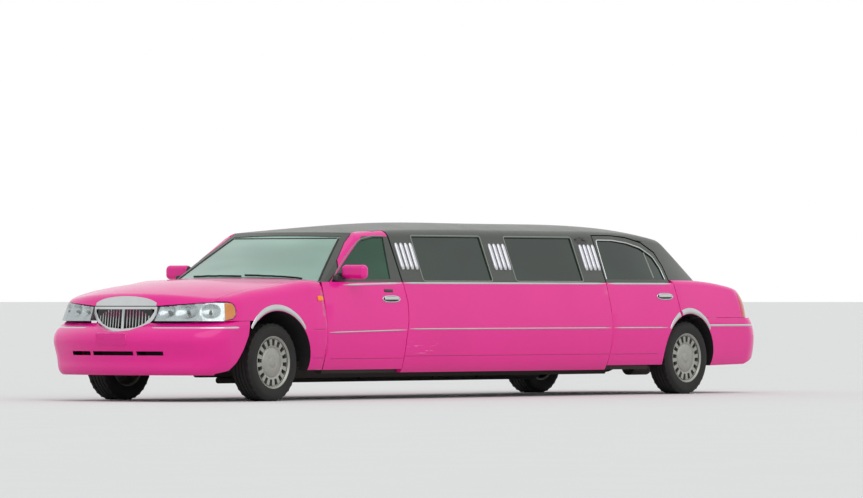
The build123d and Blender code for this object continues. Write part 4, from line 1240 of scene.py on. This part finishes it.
class LIMO_OT_ends(bpy.types.Operator):
    """Lamps, grille backing, bumper strips, wipers and windscreen edges"""

    bl_idname = "limo.ends"
    bl_label = "Nose and tail"

    def execute(self, context):
        grille_backing()
        for side, sign in SIDES:
            headlamp(side, sign)
            bumper_strip("front", NOSE_HUB, -12, 65, 40, side, sign)
            bumper_strip("rear", TAIL_HUB, 60, 194, 50, side, sign)
            wiper(side, sign)
        screen_edges()
        tail_trim()
        return {"FINISHED"}


# Cabin

def cushions(name, boxes, node):
    for number, (low, high, seams, lean) in enumerate(boxes, 1):
        pad = crowned_pad(at(*low), at(*high), seams, lean)
        replaces = (node,) if number == 1 else ()
        piece = add_piece(f"{name}_pad_{number}", pad, "leather", "body", replaces, 60.0)


class LIMO_OT_cabin(bpy.types.Operator):
    """Padded seats"""

    bl_idname = "limo.cabin"
    bl_label = "Cabin"

    def execute(self, context):
        # each cushion: low corner, high corner, sewn channels, lean in degrees
        front = []
        for side, sign in SIDES:
            left, right = sorted((sign * 140, sign * 640))
            head_left, head_right = sorted((sign * 275, sign * 505))
            front += [
                ((1360, left, 410), (1870, right, 545), 2, 0.0),
                ((1800, left + 10, 500), (1950, right - 10, 1080), 0, 8.0),
                ((1880, head_left, 1085), (1975, head_right, 1245), 0, 8.0),
            ]
        lounge = []
        for left, right in ((-535, -180), (-178, 178), (180, 535)):
            lounge.append(((5330, left, 550), (5880, right, 690), 0, 0.0))
            lounge.append(((5845, left, 640), (6000, right, 1060), 0, 10.0))
        for start in range(2410, 2410 + 5 * 456, 456):
            lounge.append(((start, -700, 530), (start + 450, -325, 655), 0, 0.0))
            lounge.append(((start, -860, 600), (start + 450, -705, 1005), 2, 0.0))
        cushions("front_seat", front, "front_seats")
        cushions("lounge_seat", lounge, "lounge_seats")
        return {"FINISHED"}


# Wheels, with profiles of (radius, distance outward along the axle) in metres

TURN_STEPS = 96
WHEEL_SLOTS = 16
TREAD_HALF = 0.088
GROOVES = (-0.054, -0.018, 0.018, 0.054)
GROOVE_DEPTH = 0.009
GROOVE_HALF = 0.005
SIDEWALL = [
    (0.206, -0.093), (0.214, -0.098), (0.228, -0.102), (0.250, -0.109), (0.285, -0.1123), (0.305, -0.109),
    (0.314, -0.102), (0.3205, -0.095),
]
RIM = [
    (0.206, 0.093), (0.213, 0.099), (0.222, 0.105), (0.225, 0.1035), (0.222, 0.098), (0.212, 0.091),
    (0.204, 0.0835), (0.202, 0.083), (0.198, 0.0885), (0.145, 0.0895), (0.134, 0.0865), (0.128, 0.083),
    (0.124, 0.086), (0.118, 0.0895), (0.060, 0.0905), (0.044, 0.0905), (0.040, 0.093), (0.020, 0.0945),
    (0.0, 0.095),
]
RIM_BACK = [
    (0.0, 0.060), (0.150, 0.058), (0.190, 0.045), (0.196, -0.090), (0.214, -0.098), (0.222, -0.098),
    (0.222, -0.094), (0.206, -0.088), (0.206, 0.093),
]


def wheel_faces(mesh_data, centre, axis, wanted):
    """Faces that wanted(radius, along, turn) picks; the turn about the axle is counted in whole steps."""
    chosen = []
    for face in mesh_data.faces:
        middle = face.calc_center_median() - centre
        along = middle.dot(axis)
        flat = middle - axis * along
        turn = math.floor(math.atan2(flat.x, flat.z) / (2 * math.pi) * TURN_STEPS)
        if wanted(flat.length, along, turn):
            chosen.append(face)
    return chosen


def tyre(name, centre, axis, body):
    """Tyre with grooves round its tread and every third block of its shoulders set off from the rest."""
    outer = hub_height * MM - 0.0002
    half = SIDEWALL + [(outer - 0.001, -TREAD_HALF)]
    profile = half[:]
    for groove in GROOVES:
        crown = outer - 0.9 * groove * groove * 0.4
        floor = crown - GROOVE_DEPTH
        profile += [(crown, groove - GROOVE_HALF), (floor, groove - GROOVE_HALF * 0.6),
                    (floor, groove + GROOVE_HALF * 0.6), (crown, groove + GROOVE_HALF)]
    profile += [(radius, -along) for radius, along in reversed(half)]
    mesh_data = lathe(profile + profile[:1], centre, axis, TURN_STEPS)

    def on_shoulder(radius, along, turn):
        return radius >= outer - 0.004 and 0.059 < abs(along) < TREAD_HALF + 0.004 and turn % 3 == 0

    blocks = wheel_faces(mesh_data, centre, axis, on_shoulder)
    bmesh.ops.inset_individual(mesh_data, faces=blocks, thickness=0.0025, depth=-0.006)
    add_piece(f"tyre_{name}_tread", mesh_data, "rubber", body, (f"tyre_{name}",), 40.0)


def wheel(name, centre, axis, body):
    """Pressed wheel with a flat cap and a ring of sunk dark slots."""
    slot_depth = 0.026
    slot_pitch = TURN_STEPS // WHEEL_SLOTS

    def in_slot(radius, along, turn):
        return 0.145 < radius < 0.198 and along > 0.08 and turn % slot_pitch in (0, 1, 2)

    mesh_data = lathe(RIM + RIM_BACK, centre, axis, TURN_STEPS)
    slots = wheel_faces(mesh_data, centre, axis, in_slot)
    made = bmesh.ops.extrude_face_region(mesh_data, geom=slots)["geom"]
    bmesh.ops.translate(mesh_data, verts=of_kind(made, bmesh.types.BMVert), vec=-axis * slot_depth)
    bmesh.ops.delete(mesh_data, geom=[face for face in slots if face.is_valid], context="FACES_ONLY")
    for face in of_kind(made, bmesh.types.BMFace):
        face.material_index = 1
    add_piece(f"wheel_{name}_disc", mesh_data, "wheel", body, (f"rim_{name}",), 32.0, ("black_plastic",))


class LIMO_OT_wheels(bpy.types.Operator):
    """Tyres with grooved tread and slotted wheels with flat caps"""

    bl_idname = "limo.wheels"
    bl_label = "Wheels"

    def execute(self, context):
        for end in ("front", "rear"):
            for side, sign in SIDES:
                name = f"{end}_{side}"
                centre = Vector(joints[f"roll_{name}"]["pos_m"])
                for make in (tyre, wheel):
                    make(name, centre, Vector((0, sign, 0)), f"wheel_{name}")
        return {"FINISHED"}


class LIMO_PT_panel(bpy.types.Panel):
    """Lists the steps of the dressing"""

    bl_idname = "LIMO_PT_panel"
    bl_label = "Limousine"
    bl_space_type = "VIEW_3D"
    bl_region_type = "UI"
    bl_category = "Limousine"

    def draw(self, context):
        settings = context.scene.limo
        for name in ("paint", "vinyl", "trim_width", "moulding_height", "bar_width"):
            self.layout.prop(settings, name)
        for step in STEPS:
            self.layout.operator(step.bl_idname)


STEPS = (
    LIMO_OT_finishes, LIMO_OT_stage, LIMO_OT_panels, LIMO_OT_side_trim, LIMO_OT_side_parts, LIMO_OT_ends,
    LIMO_OT_cabin, LIMO_OT_wheels,
)
CLASSES = (Settings, *STEPS, LIMO_PT_panel)


def register():
    for item in CLASSES:
        bpy.utils.register_class(item)
    bpy.types.Scene.limo = bpy.props.PointerProperty(type=Settings)


def unregister():
    del bpy.types.Scene.limo
    for item in reversed(CLASSES):
        bpy.utils.unregister_class(item)


def main():
    register()
    for step in STEPS:
        group, name = step.bl_idname.split(".")
        getattr(getattr(bpy.ops, group), name)()


if __name__ == "__main__":
    main()
